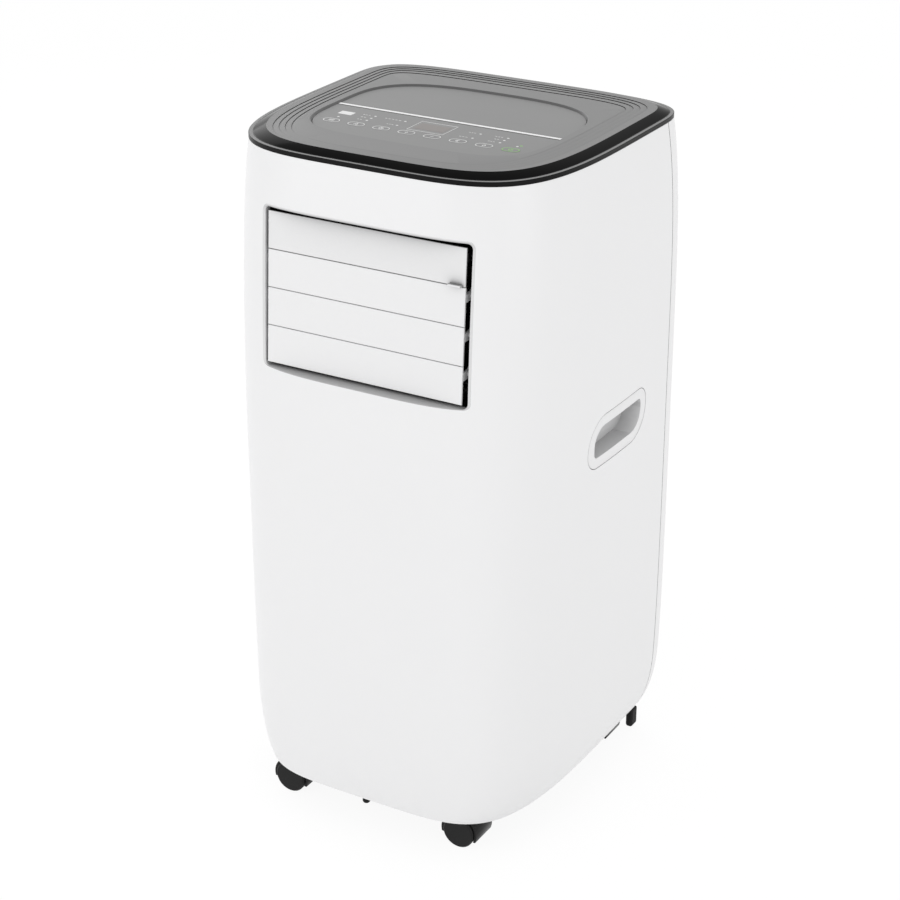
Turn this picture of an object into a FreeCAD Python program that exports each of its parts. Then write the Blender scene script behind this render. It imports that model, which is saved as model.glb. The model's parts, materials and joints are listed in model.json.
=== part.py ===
"""Portable air conditioner, as an assembly of separate pieces.

Millimetres. X points to the right of someone facing the front, Y to the rear and Z up.
The origin is on the floor, under the middle of the casing.
"""
import FreeCAD, Part
import math
import os
import re

Vector = FreeCAD.Vector
doc = FreeCAD.newDocument("portable_air_conditioner")

# ---------------------------------------------------------------- driving dimensions

SIZES = {
    # plan outline: a superellipse in two halves, joined where the casing is widest
    "lid_half_width": 171.2,
    "front_reach": 245.6,
    "rear_reach": 78.3,
    "lid_corner": 4.4,
    "belly_corner": 4.1,
    "tuck_corner": 0.55,
    # how far the casing swells beyond the lid, and where
    "side_bulge": 10.5,
    "front_bulge": 15.4,
    "rear_bulge": 3.1,
    "belly_height": 400,
    "foot_reach": 396,
    "front_foot_drop": 0.5,
    # heights of the casing
    "skirt_edge": 38,
    "tuck_start": 117,
    "side_tuck": 27,
    "rear_tuck": 0.5,
    "front_tuck": 0.5,
    "lid_seat": 688,
    "wall": 2.8,
    "seam_position": 115,
    "seam_gap": 0.5,
    "fit": 0.3,
    # lid
    "rim_height": 4.5,
    "rim_ledge": 3.5,
    "lid_thickness": 9,
    "slope_inset": 13.2,
    "step_height": 0.6,
    "step_ramp": 3.4,
    "last_ramp": 2.5,
    "step_side_inset": 22.3,
    "step_side_spacing": 5.6,
    "step_rear_inset": 22.9,
    "step_rear_spacing": 6.2,
    "step_front_inset": 15.2,
    "step_front_spacing": 3.8,
    "last_step_room": 2.3,
    "step_widest": 86,
    "step_front_corner": 4.4,
    "step_rear_corner": 4.5,
    "recess_half_width": 121.8,
    "recess_rear": 97,
    "recess_front": -93.7,
    "recess_widest": 12,
    "recess_front_corner": 4.3,
    "recess_rear_corner": 3,
    "recess_depth": 2.8,
    "recess_slope": 1.5,
    "lid_skin": 2.8,
    "plug_depth": 8,
    # control panel
    "overlay_thickness": 0.8,
    "strip_length": 240,
    "strip_width": 3.8,
    "strip_position": -3,
    "key_length": 18,
    "key_width": 11,
    "key_pitch": 27.3,
    "key_line": -57,
    "key_travel": 0.5,
    "key_height": 2.1,
    "display_length": 38.5,
    "display_width": 29,
    "display_line": -33,
    "receiver_length": 15,
    "receiver_width": 9.5,
    "lens_radius": 1.2,
    # louvre
    "louvre_centre": 559.5,
    "louvre_recess": 9.5,
    "louvre_tilt": 3.8,
    "slat_half_width": 104.8,
    "slat_pitch": 36.8,
    "slat_gap": 0.6,
    "slat_thickness": 2,
    "opening_margin": 4.1,
    "opening_shift": 1.7,
    "opening_above": 3.7,
    "throat_above": 7,
    "mouth_depth": 3,
    "opening_below": 3,
    "opening_corner": 6,
    "lip_thickness": 2.4,
    "pin_radius": 2,
    "pin_setback": 11,
    "pin_rise": 9,
    "pin_clearance": 0.05,
    "crank_reach": 7.9,
    "crank_rise": 6.1,
    "link_thickness": 2,
    "link_half_width": 3,
    "frame_half_width": 111.5,
    "frame_wall": 2.5,
    "frame_setback": 7,
    "frame_depth": 38,
    # side handles
    "handle_height": 415.7,
    "handle_position": 7.8,
    "handle_length": 116,
    "handle_width": 51,
    "grip_length": 93.5,
    "grip_width": 30,
    "grip_depth": 19,
    "handle_wall": 2.4,
    # casters
    "front_track": 100,
    "front_line": -130,
    "rear_track": 126,
    "rear_line": 108,
    "wheel_radius": 17,
    "wheel_width": 16,
    "wheel_trail": 5.5,
    "web_thickness": 5,
    "hood_radius": 20,
    "hood_width": 32,
    "axle_radius": 3,
    "axle_clearance": 0.06,
    "stem_radius": 5,
    "stem_length": 18,
    "pan_bottom": 42,
    "pan_height": 18,
    "pan_thickness": 3,
    # rear openings
    "grille_half_width": 112,
    "upper_grille_bottom": 405,
    "upper_grille_top": 640,
    "lower_grille_bottom": 72,
    "lower_grille_top": 205,
    "grille_thickness": 3,
    "grille_bar": 3,
    "grille_pitch": 10,
    "filter_thickness": 6,
    "exhaust_height": 302,
    "exhaust_radius": 75,
    "collar_wall": 3,
    "collar_depth": 24,
    # machinery
    "tray_height": 388,
    "tray_thickness": 3,
    "coil_line": 114,
    "coil_thickness": 26,
    "coil_half_width": 108,
    "evaporator_top": 648,
    "condenser_top": 208,
    "cross_radius": 42,
    "cross_half_length": 98,
    "blower_radius": 62,
    "blower_width": 70,
    "scroll_wall": 2.2,
    "shaft_radius": 4,
    "compressor_radius": 48,
    "compressor_height": 180,
    "pipe_radius": 4,
}

sheet = doc.addObject("Spreadsheet::Sheet", "Sizes")
for row, (alias, value) in enumerate(SIZES.items(), start=1):
    sheet.set(f"A{row}", alias)
    sheet.set(f"B{row}", str(value))
    sheet.setAlias(f"B{row}", alias)
doc.recompute()


def mm(alias):
    """The present value of a named size."""
    return float(sheet.get(alias))


# ---------------------------------------------------------------- helpers

NAMES = re.compile(r"\b(" + "|".join(SIZES) + r")\b")
NODES = []


def bind(item, **formulas):
    """Ties properties of an object to formulas in the named sizes; Base_x means Placement.Base.x."""
    for name, text in formulas.items():
        path = f"Placement.Base.{name[-1]}" if name.startswith("Base_") else name
        item.setExpression(path, NAMES.sub(r"Sizes.\1", str(text)))
    return item


def block(name, length, width, height, x, y, z):
    """A box from its three edges and its lowest corner."""
    item = doc.addObject("Part::Box", name)
    return bind(item, Length=length, Width=width, Height=height, Base_x=x, Base_y=y, Base_z=z)


def fuse(name, *items):
    item = doc.addObject("Part::MultiFuse", name)
    item.Shapes = list(items)
    item.Refine = True
    return item


def feature(name, shape):
    """A piece, or a stage of one, whose shape comes from Part's own functions."""
    item = doc.addObject("Part::Feature", name)
    item.Shape = shape
    item.Placement = shape.Placement
    return item


def piece(node, item):
    """Marks an object as a finished piece, written to its own file."""
    item.Label = node
    NODES.append(item)
    return item


# ---------------------------------------------------------------- plan outline and envelope

OUTLINE_POINTS = 64
PAST = 2  # how far an inner form reaches past the casing's top, so that its cut goes right through


def superellipse(half_width, front, rear, widest, corner_front, corner_rear, height):
    """A closed smooth outline, wider or fuller at the rear than at the front."""
    points = []
    for step in range(OUTLINE_POINTS):
        angle = 2 * math.pi * step / OUTLINE_POINTS
        across = math.cos(angle)
        along = math.sin(angle)
        depth = rear - widest if along > 0 else widest - front
        corner = corner_rear if along > 0 else corner_front
        scale = (abs(across / half_width) ** corner + abs(along / depth) ** corner) ** (-1 / corner)
        points.append(Vector(across * scale, widest + along * scale, height))
    curve = Part.BSplineCurve()
    curve.interpolate(points, PeriodicFlag=True)
    return Part.Wire([curve.toShape()])


def swell(height, power):
    """1 at the belly, falling to 0 at the lid and at the foot."""
    rise = height - mm("belly_height")
    span = mm("lid_seat") - mm("belly_height") if rise > 0 else mm("foot_reach")
    return 1 - abs(rise / span) ** power


def tuck(height):
    """How far the skirt has curved inwards at a height, as a share of a quarter ellipse's width."""
    drop = mm("tuck_start") - height
    if drop <= 0:
        return 0
    reach = mm("tuck_start") - mm("skirt_edge") + PAST
    return 1 - math.sqrt(1 - (drop / reach) ** 2)


# The widest line is placed so that the swollen casing reaches as far forwards as backwards.
WIDEST = (mm("front_reach") + mm("front_bulge") - mm("rear_reach") - mm("rear_bulge")) / 2
SIDE_POWER = 5
FRONT_POWER = 1.82


def front_drop(height):
    """How far the front lies behind its foremost line, at the belly."""
    rise = height - mm("belly_height")
    if rise > 0:
        return mm("front_bulge") * (rise / (mm("lid_seat") - mm("belly_height"))) ** FRONT_POWER
    return mm("front_foot_drop") * (-rise / mm("foot_reach")) ** FRONT_POWER


def reach(height):
    """Half width, front, rear and corner of the casing at a height."""
    side = swell(height, SIDE_POWER)
    inward = tuck(height)
    half_width = mm("lid_half_width") + mm("side_bulge") * side - mm("side_tuck") * inward
    front = WIDEST - mm("front_reach") - mm("front_bulge") + front_drop(height)
    front += mm("front_tuck") * inward
    rear = WIDEST + mm("rear_reach") + mm("rear_bulge") * side - mm("rear_tuck") * inward
    corner = mm("lid_corner") + (mm("belly_corner") - mm("lid_corner")) * side
    return half_width, front, rear, corner + mm("tuck_corner") * inward


def casing_outline(height, inset):
    half_width, front, rear, corner = reach(height)
    return superellipse(half_width - inset, front + inset, rear - inset, WIDEST, corner, corner, height)


def lid_outline(height, inset):
    """The lid follows the casing's outline at the seat, all the way up."""
    half_width, front, rear, corner = reach(mm("lid_seat"))
    return superellipse(half_width - inset, front + inset, rear - inset, WIDEST, corner, corner, height)


def prism(outline, bottom, top, inset=0):
    """A straight solid on an outline function."""
    return Part.Face(outline(bottom, inset)).extrude(Vector(0, 0, top - bottom))


def envelope(inset, past=0):
    """The casing's swollen outer form, moved inwards by inset and made taller by past."""
    low, mid, high = mm("skirt_edge"), mm("tuck_start"), mm("lid_seat") + past
    levels = [low + (mid - low) * (step / 5) ** 1.5 for step in range(5)]
    levels += [mid + (high - mid) * step / 7 for step in range(8)]
    return Part.makeLoft([casing_outline(level, inset) for level in levels], True, False)


def stacked(loops):
    """A solid bounded by a chain of level outlines: each is joined to the next, the two ends are capped."""
    faces = [Part.Face(loops[0])]
    for before, after in zip(loops, loops[1:]):
        if abs(before.BoundBox.ZMin - after.BoundBox.ZMin) < 0.001:
            faces += Part.makeFace([before, after], "Part::FaceMakerBullseye").Faces
        else:
            faces += Part.makeRuledSurface(before.Edges[0], after.Edges[0]).Faces
    faces.append(Part.Face(loops[-1]))
    shell = Part.makeShell(faces)
    shell.sewShape()
    solid = Part.makeSolid(shell)
    if solid.Volume < 0:
        solid.reverse()
    return solid


def band(inset, low, high):
    """A slice of the same form between two heights, for small pieces."""
    levels = [low + (high - low) * step / 3 for step in range(4)]
    return Part.makeLoft([casing_outline(level, inset) for level in levels], True, False)


def skin_front(x, height):
    """Y of the casing's front face at a place."""
    half_width, front, rear, corner = reach(height)
    return WIDEST - (WIDEST - front) * (1 - abs(x / half_width) ** corner) ** (1 / corner)


def skin_rear(x, height):
    """Y of the casing's rear face at a place."""
    half_width, front, rear, corner = reach(height)
    return WIDEST + (rear - WIDEST) * (1 - abs(x / half_width) ** corner) ** (1 / corner)


WALL = mm("wall")
FIT = mm("fit")
OUTER = envelope(0)
INNER = envelope(WALL, PAST)

# ---------------------------------------------------------------- louvre frame of reference

# The louvre lies in a plane that leans back with the casing's front.  In its own coordinates X runs
# across, Y into the machine and Z up the slats, from the middle of the closed slats' front plane.
LOUVRE = FreeCAD.Placement(
    Vector(0, skin_front(0, mm("louvre_centre")) + mm("louvre_recess"), mm("louvre_centre")),
    FreeCAD.Rotation(Vector(1, 0, 0), -mm("louvre_tilt")),
)
SLATS = 4
BANK_TOP = SLATS * mm("slat_pitch") / 2
OPENING_HALF = mm("slat_half_width") + mm("opening_margin")
OPENING_TOP = BANK_TOP + mm("opening_above")
THROAT_TOP = BANK_TOP + mm("throat_above")
OPENING_BOTTOM = -BANK_TOP - mm("opening_below")
CUT_AHEAD = 40  # how far ahead of the slats the opening's cut starts
LIP_AHEAD = 30  # how far ahead of the slats the block for the lip starts


def rounded_block(half_width, low, high, near, far, corner):
    """A block in louvre coordinates with its four long edges rounded."""
    solid = Part.makeBox(2 * half_width, far - near, high - low, Vector(-half_width, near, low))
    if corner > 0:
        long_edges = [
            edge for edge in solid.Edges
            if abs(edge.Vertexes[0].Point.y - edge.Vertexes[-1].Point.y) > (far - near) / 2
        ]
        solid = solid.makeFillet(corner, long_edges)
    return solid


def in_louvre(solid):
    """Moves a solid from louvre coordinates to its place."""
    moved = solid.copy()
    moved.Placement = LOUVRE.multiply(moved.Placement)
    return moved


# ---------------------------------------------------------------- casing

SEAM = mm("seam_position")
SEAM_GAP = mm("seam_gap")


def handle_outline(length, width, tight, large, x):
    """The leaf outline of a side handle: tight at the low front and high rear, large at the others."""
    half = length / 2
    tall = width / 2
    y0 = mm("handle_position")
    z0 = mm("handle_height")
    corners = [(-half, -tall, tight), (half, -tall, large), (half, tall, tight), (-half, tall, large)]
    edges = []
    joints = []
    for (cy, cz, radius) in corners:
        into_y = -math.copysign(radius, cy)
        into_z = -math.copysign(radius, cz)
        centre = Vector(x, y0 + cy + into_y, z0 + cz + into_z)
        side_point = Vector(x, y0 + cy, z0 + cz + into_z)
        end_point = Vector(x, y0 + cy + into_y, z0 + cz)
        bend = math.sqrt(0.5)
        middle = centre.add(Vector(0, -into_y * bend, -into_z * bend))
        first, last = (side_point, end_point) if cy * cz > 0 else (end_point, side_point)
        joints.append((first, middle, last))
    for index, (first, middle, last) in enumerate(joints):
        following = joints[(index + 1) % 4][0]
        edges.append(Part.Arc(first, middle, last).toShape())
        if last.distanceToPoint(following) > 0.01:
            edges.append(Part.LineSegment(last, following).toShape())
    return Part.Wire(edges)


RING_TIGHT = 16
RING_LARGE = 33
GRIP_TIGHT = 5
GRIP_LARGE = 20


def handle_prism(margin, grip, side, near, far):
    """A leaf-shaped block across the side wall, between two distances from the middle of the casing."""
    length = mm("grip_length" if grip else "handle_length") + 2 * margin
    width = mm("grip_width" if grip else "handle_width") + 2 * margin
    tight = (GRIP_TIGHT if grip else RING_TIGHT) + margin
    large = min((GRIP_LARGE if grip else RING_LARGE) + margin, width - tight)
    face = Part.Face(handle_outline(length, width, tight, large, side * near))
    return face.extrude(Vector(side * (far - near), 0, 0))


def grille_window(prefix, margin, near, far):
    """A rounded block through the rear wall, for an intake grille."""
    half = mm("grille_half_width") + margin
    low = mm(prefix + "_grille_bottom") - margin
    high = mm(prefix + "_grille_top") + margin
    return rounded_block(half, low, high, near, far, mm("opening_corner") + margin)


SCREW_X = 130
SCREW_HEIGHTS = (110, 240, 372, 600)
SCREW_HEAD = 4.2
SCREW_SHANK = 1.9
SCREW_SINK = 3.4
BOSS_RADIUS = 6.4
BOSS_LENGTH = 14
SCREW_REACH = 20
SCREW_PLAY = 0.05
HEAD_HEIGHT = 2.2
FRONT_BOSS = 62  # length of the boss on the front casing that takes the screw
RIB = 3  # thickness of the rib that ties that boss to the side wall
RIB_BACK = 8  # how far the rib stays ahead of the seam
REAR_LIMIT = 200  # beyond the casing's rear
SIDE_RANGE = (120, 220)  # a cut between these distances from the middle goes through the side wall
BEHIND_SEAM = 5  # where the cuts for the rear openings start
OPENING_PLAY = 0.05
GRILLE_PLAY = 0.4


def screw_places():
    return [(side * SCREW_X, height) for side in (-1, 1) for height in SCREW_HEIGHTS]


def rear_rod(radius, x, height, near, far):
    return Part.makeCylinder(radius, far - near, Vector(x, near, height), Vector(0, 1, 0))


SPOUT_X = 66
SPOUT_HEIGHT = 58
SPOUT_RADIUS = 7
SPOUT_WALL = 1.6
SPOUT_LENGTH = 10
INLET_X = -70
INLET_HEIGHT = 232
INLET_RADIUS = 9
INLET_LENGTH = 9
INLET_BORE = 4


SHELL = OUTER.cut(INNER)


def make_front_casing():
    """Front and sides: the shell ahead of the seam, with the louvre's lip and the handle openings."""
    front_part = Part.makeBox(1000, 1000, 1000, Vector(-500, SEAM - SEAM_GAP / 2 - 1000, 0))
    casing = SHELL.common(front_part)
    lip = mm("lip_thickness")
    behind = mm("frame_setback") - FIT
    collar = rounded_block(
        OPENING_HALF + lip, OPENING_BOTTOM - lip, THROAT_TOP + lip, -LIP_AHEAD, behind,
        mm("opening_corner") + lip,
    )
    opening = rounded_block(
        OPENING_HALF, OPENING_BOTTOM, OPENING_TOP, -CUT_AHEAD, mm("frame_depth"), mm("opening_corner")
    )
    throat = rounded_block(  # room behind the mouth for the top edge of the first slat as it tilts
        OPENING_HALF, OPENING_BOTTOM, THROAT_TOP, mm("mouth_depth"), mm("frame_depth"), mm("opening_corner")
    )
    for solid in (collar, opening, throat):  # more room at the right, where the link bar runs
        solid.translate(Vector(mm("opening_shift"), 0, 0))
    added = [in_louvre(collar).common(OUTER)]
    holes = [in_louvre(opening), in_louvre(throat)]
    for x, height in screw_places():
        side = math.copysign(1, x)
        tip = skin_rear(x, height) - BOSS_LENGTH - FIT
        wall_middle = reach(height)[0] - WALL / 2
        start = min(x, side * wall_middle)
        added.append(rear_rod(BOSS_RADIUS, x, height, tip - FRONT_BOSS, tip))
        added.append(Part.makeBox(
            wall_middle - abs(x), SEAM - RIB_BACK - tip + FRONT_BOSS, RIB,
            Vector(start, tip - FRONT_BOSS, height - RIB / 2),
        ))
        holes.append(rear_rod(SCREW_SHANK, x, height, tip - SCREW_REACH, tip + 1))
    holes += [handle_prism(SEAM_GAP / 2, False, side, *SIDE_RANGE) for side in (-1, 1)]
    return casing.fuse(added).cut(holes)


def make_rear_casing():
    """The back: the shell behind the seam, with its openings and screw bosses."""
    rear_part = Part.makeBox(1000, 1000, 1000, Vector(-500, SEAM + SEAM_GAP / 2, 0))
    casing = SHELL.common(rear_part)
    bosses = []
    holes = []
    for x, height in screw_places():
        skin = skin_rear(x, height)
        seat = skin - SCREW_SINK
        bosses.append(rear_rod(BOSS_RADIUS, x, height, skin - BOSS_LENGTH, skin - WALL / 2))
        holes.append(rear_rod(SCREW_HEAD + FIT, x, height, seat, REAR_LIMIT))
        holes.append(rear_rod(SCREW_SHANK + SCREW_PLAY, x, height, seat - BOSS_LENGTH, seat))
    for prefix in ("upper", "lower"):
        holes.append(grille_window(prefix, GRILLE_PLAY, SEAM + BEHIND_SEAM, REAR_LIMIT))
    for radius, x, height in (
        (mm("exhaust_radius") + mm("collar_wall"), 0, mm("exhaust_height")),
        (SPOUT_RADIUS, SPOUT_X, SPOUT_HEIGHT),
        (INLET_RADIUS, INLET_X, INLET_HEIGHT),
    ):
        holes.append(rear_rod(radius + OPENING_PLAY, x, height, SEAM + BEHIND_SEAM, REAR_LIMIT))
    return casing.fuse(bosses).cut(holes)


piece("front_casing", feature("front_casing_skin", make_front_casing()))
piece("rear_casing", feature("rear_casing_skin", make_rear_casing()))


def make_screws():
    """Eight identical pan-head screws, head and shank in one."""
    screws = []
    for x, height in screw_places():
        seat = skin_rear(x, height) - SCREW_SINK
        head = rear_rod(SCREW_HEAD, x, height, seat, seat + HEAD_HEIGHT)
        shank = rear_rod(SCREW_SHANK, x, height, seat - SCREW_REACH, seat + 0.5)
        screws.append(head.fuse(shank).removeSplitter())
    return Part.makeCompound(screws)


piece("casing_screws", feature("casing_screw_set", make_screws()))


def make_side_handle(side):
    """A moulded cup with a flange that fills the leaf-shaped opening in the side wall."""
    low = mm("handle_height") - mm("handle_width")
    high = mm("handle_height") + mm("handle_width")
    skin = band(0, low, high)
    flange = handle_prism(-SEAM_GAP / 2, False, side, *SIDE_RANGE).common(skin)
    flange = flange.cut(band(WALL, low, high))
    floor = mm("lid_half_width") + mm("side_bulge") - mm("grip_depth")
    wall = mm("handle_wall")
    cup = handle_prism(wall, True, side, floor - wall, SIDE_RANGE[1]).common(skin)
    pocket = handle_prism(0, True, side, floor, SIDE_RANGE[1])
    return flange.fuse(cup).cut(pocket)


piece("side_handle_left", feature("left_handle_cup", make_side_handle(-1)))
piece("side_handle_right", feature("right_handle_cup", make_side_handle(1)))


# ---------------------------------------------------------------- base pan and floor parts

PAN_BOTTOM = mm("pan_bottom")
PAN_FLOOR = PAN_BOTTOM + mm("pan_thickness")
STEMS = {
    "fl": (-mm("front_track"), mm("front_line")),
    "fr": (mm("front_track"), mm("front_line")),
    "rl": (-mm("rear_track"), mm("rear_line")),
    "rr": (mm("rear_track"), mm("rear_line")),
}


SOCKET_WALL = 4


def make_base_pan():
    """A shallow tray inside the skirt, with a socket for each caster stem and a notch for the drain."""
    low = PAN_BOTTOM
    high = PAN_BOTTOM + mm("pan_height")
    room = WALL + FIT
    thickness = mm("pan_thickness")
    levels = [low + (high - low) * step / 3 for step in range(4)]
    inner_levels = [high - (high - PAN_FLOOR) * step / 3 for step in range(4)]
    loops = [casing_outline(level, room) for level in levels]
    loops += [casing_outline(level, room + thickness) for level in inner_levels]
    sockets = [
        Part.makeCylinder(
            mm("stem_radius") + SOCKET_WALL, mm("stem_length") + SOCKET_WALL, Vector(x, y, low)
        )
        for x, y in STEMS.values()
    ]
    holes = [
        Part.makeCylinder(
            mm("stem_radius") + mm("axle_clearance"), mm("stem_length") + 1, Vector(x, y, low)
        )
        for x, y in STEMS.values()
    ]
    holes.append(rear_rod(SPOUT_RADIUS + 0.05, SPOUT_X, SPOUT_HEIGHT, WIDEST, REAR_LIMIT))
    return stacked(loops).fuse(sockets).cut(holes)


piece("base_pan", feature("base_pan_tray", make_base_pan()))


# ---------------------------------------------------------------- casters

def make_hood(x, y):
    """The caster's frame: a web between the wheels, a hood over them, a stem and an axle."""
    centre_x = x - mm("wheel_trail")
    radius = mm("wheel_radius")
    hood = mm("hood_radius")
    half_hood = mm("hood_width") / 2
    half_web = mm("web_thickness") / 2
    axis = Vector(0, 1, 0)
    start = Vector(centre_x, y - half_hood, radius)
    shell = Part.makeCylinder(hood, 2 * half_hood, start, axis)
    inner = Part.makeCylinder(radius + HOOD_CLEARANCE, 2 * half_hood, start, axis)
    web_start = Vector(centre_x, y - half_web, radius)
    web = Part.makeCylinder(radius + HOOD_CLEARANCE, 2 * half_web, web_start, axis)
    shell = shell.cut(inner).fuse(web)
    # open below a slanted line: lower at the trailing side
    below = Part.makeBox(200, 100, 100, Vector(-100, -50, -100))
    below.Placement = FreeCAD.Placement(
        Vector(centre_x, y, radius), FreeCAD.Rotation(axis, HOOD_SLANT)
    ).multiply(FreeCAD.Placement(Vector(0, 0, -HOOD_SKIRT), FreeCAD.Rotation()))
    shell = shell.cut(below)
    neck = Part.makeCylinder(
        mm("stem_radius") + 3.5, PAN_BOTTOM - FIT - radius - mm("axle_radius") - 2,
        Vector(x, y, radius + mm("axle_radius") + 2),
    )
    neck = neck.common(Part.makeBox(60, 2 * half_web, 60, Vector(x - 30, y - half_web, 0)).fuse(
        Part.makeBox(60, 60, 60, Vector(x - 30, y - 30, radius + (hood + radius) / 2))
    ))
    stem = Part.makeCylinder(
        mm("stem_radius"), PAN_BOTTOM + mm("stem_length") - radius - 10, Vector(x, y, radius + 10)
    )
    stem = stem.cut(Part.makeCylinder(radius + HOOD_CLEARANCE, 2 * half_hood, start, axis).cut(web))
    axle = Part.makeCylinder(
        mm("axle_radius"), 2 * (half_web + mm("wheel_width") - 3),
        Vector(centre_x, y - half_web - mm("wheel_width") + 3, radius), axis,
    )
    return shell.fuse([neck, stem, axle]).removeSplitter()


HOOD_CLEARANCE = 0.7
HOOD_SLANT = 4
HOOD_SKIRT = 6.5
WHEEL_GAP = 0.4


def make_wheel(x, y, side):
    """A moulded wheel: rim and web with a hub, open towards the middle, with a closed outer disc."""
    radius = mm("wheel_radius")
    width = mm("wheel_width")
    near = mm("web_thickness") / 2 + WHEEL_GAP
    bore = mm("axle_radius") + mm("axle_clearance")
    profile = [
        (bore, 0), (bore + 2.5, 0), (bore + 2.5, width - 6), (radius - 3, width - 6), (radius - 3, 0),
        (radius - 0.8, 0), (radius, 0.8), (radius, width - 1.6), (radius - 1.6, width),
        (0, width), (0, width - 2.6), (bore, width - 2.6),
    ]
    points = [Vector(0, distance, across) for across, distance in profile]
    face = Part.Face(Part.makePolygon(points + [points[0]]))
    wheel = face.revolve(Vector(0, 0, 0), Vector(0, 1, 0), 360)
    turn = FreeCAD.Rotation() if side > 0 else FreeCAD.Rotation(Vector(0, 0, 1), 180)
    wheel.Placement = FreeCAD.Placement(
        Vector(x - mm("wheel_trail"), y + side * near, radius), turn
    )
    return wheel


for corner, (stem_x, stem_y) in STEMS.items():
    hood_shape = make_hood(stem_x, stem_y)
    piece(f"caster_{corner}_housing", feature(f"caster_{corner}_hood", hood_shape))
    for letter, side in (("a", -1), ("b", 1)):
        wheel_shape = make_wheel(stem_x, stem_y, side)
        name = f"caster_{corner}_wheel_{letter}"
        piece(name, feature(f"wheel_{corner}_{letter}", wheel_shape))


# ---------------------------------------------------------------- lid

SEAT = mm("lid_seat")
LID_TOP = SEAT + mm("lid_thickness")
STEPS = 4
PLUG_INSET = 1
PLUG_WALL = 2.4
RECESS_FLOOR = LID_TOP - mm("recess_depth")
OVERLAY_TOP = RECESS_FLOOR + mm("overlay_thickness")


def step_outline(step, height, extra=0):
    """The outline of one of the lid's concentric steps; extra moves it further inwards."""
    half_width, front, rear, corner = reach(SEAT)
    side = mm("step_side_inset") + step * mm("step_side_spacing") + extra
    behind = mm("step_rear_inset") + step * mm("step_rear_spacing") + extra
    ahead = mm("step_front_inset") + step * mm("step_front_spacing") + extra
    if step == STEPS - 1:
        behind += mm("last_step_room")
    return superellipse(
        half_width - side, front + ahead, rear - behind, mm("step_widest"),
        mm("step_front_corner"), mm("step_rear_corner"), height,
    )


def recess_outline(height, inset):
    return superellipse(
        mm("recess_half_width") - inset, mm("recess_front") + inset, mm("recess_rear") - inset,
        mm("recess_widest"), mm("recess_front_corner"), mm("recess_rear_corner"), height,
    )


def make_lid():
    """A black moulding: upright rim, ledge and sloping edge, stepped top and a recess for the controls."""
    rim_top = SEAT + mm("rim_height")
    low = LID_TOP - mm("step_height")
    plug_low = SEAT - mm("plug_depth")
    underside = RECESS_FLOOR - mm("lid_skin")
    loops = [recess_outline(RECESS_FLOOR, mm("recess_slope")), recess_outline(LID_TOP, 0)]
    for step in reversed(range(STEPS)):
        ramp = mm("step_ramp" if step < STEPS - 1 else "last_ramp")
        loops += [step_outline(step, LID_TOP, ramp), step_outline(step, low), step_outline(step, LID_TOP)]
    loops += [
        lid_outline(LID_TOP, mm("slope_inset")),
        lid_outline(rim_top, mm("rim_ledge")),
        lid_outline(rim_top, 0),
        lid_outline(SEAT, 0),
        lid_outline(SEAT, WALL + FIT + PLUG_INSET),
        lid_outline(plug_low, WALL + FIT + PLUG_INSET),
        lid_outline(plug_low, WALL + FIT + PLUG_INSET + PLUG_WALL),
        lid_outline(underside, WALL + FIT + PLUG_INSET + PLUG_WALL),
    ]
    return stacked(loops).cut([
        key_block(index, FIT, KEY_WELL_FLOOR, RECESS_FLOOR + 1) for index in range(KEYS)
    ])


KEYS = 8
KEY_PROUD = 0.15
KEY_SPARE = 0.1  # room left under a pressed key
KEY_FLOOR = OVERLAY_TOP + KEY_PROUD - mm("key_height")
KEY_WELL_FLOOR = KEY_FLOOR - mm("key_travel") - KEY_SPARE


def key_block(index, margin, low, high):
    """An oval block for a key, or with a margin for the well or window it moves in."""
    x = (index - (KEYS - 1) / 2) * mm("key_pitch")
    length = mm("key_length") + 2 * margin
    width = mm("key_width") + 2 * margin
    straight = length - width
    block_part = Part.makeBox(
        straight, width, high - low, Vector(x - straight / 2, mm("key_line") - width / 2, low)
    )
    ends = [
        Part.makeCylinder(width / 2, high - low, Vector(x + sign * straight / 2, mm("key_line"), low))
        for sign in (-1, 1)
    ]
    return block_part.fuse(ends).removeSplitter()


piece("lid_cover", feature("lid_moulding", make_lid()))


# ---------------------------------------------------------------- control panel

PANEL_FIT = 0.15
LENS_PLAY = 0.05
LENS_PROUD = 0.1  # how far lenses and windows stand above the overlay
LENS_PLACES = (
    (-96, -44.3), (-66, -26.3), (-66, -34), (-66, -41.8), (-33, -26.8), (-33, -41.7),
    (48, -27.4), (48, -42.5), (76.5, -26.7), (76.6, -34.2), (76.7, -42.5), (95.8, -44.8),
)
RECEIVER = (-96, -30)


def plate(length, width, x, y, low, high):
    """A rectangular plate about a centre."""
    return Part.makeBox(length, width, high - low, Vector(x - length / 2, y - width / 2, low))


def make_overlay():
    """The printed panel in the recess, with windows for keys, display, receiver, lamps and strip."""
    panel = prism(recess_outline, RECESS_FLOOR, OVERLAY_TOP, mm("recess_slope") + PANEL_FIT)
    low, high = RECESS_FLOOR - 1, OVERLAY_TOP + 1
    gap = 2 * PANEL_FIT
    windows = [key_block(index, PANEL_FIT, low, high) for index in range(KEYS)]
    for name, x, y in (
        ("display", 0, mm("display_line")),
        ("receiver", *RECEIVER),
        ("strip", 0, mm("strip_position")),
    ):
        windows.append(plate(mm(name + "_length") + gap, mm(name + "_width") + gap, x, y, low, high))
    for x, y in LENS_PLACES:
        windows.append(Part.makeCylinder(mm("lens_radius") + LENS_PLAY, high - low, Vector(x, y, low)))
    return panel.cut(windows)


piece("control_overlay", feature("control_panel_film", make_overlay()))

for index in range(KEYS):
    key_shape = key_block(index, 0, KEY_FLOOR, OVERLAY_TOP + KEY_PROUD)
    piece(f"key_{index + 1}", feature(f"key_cap_{index + 1}", key_shape))


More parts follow.
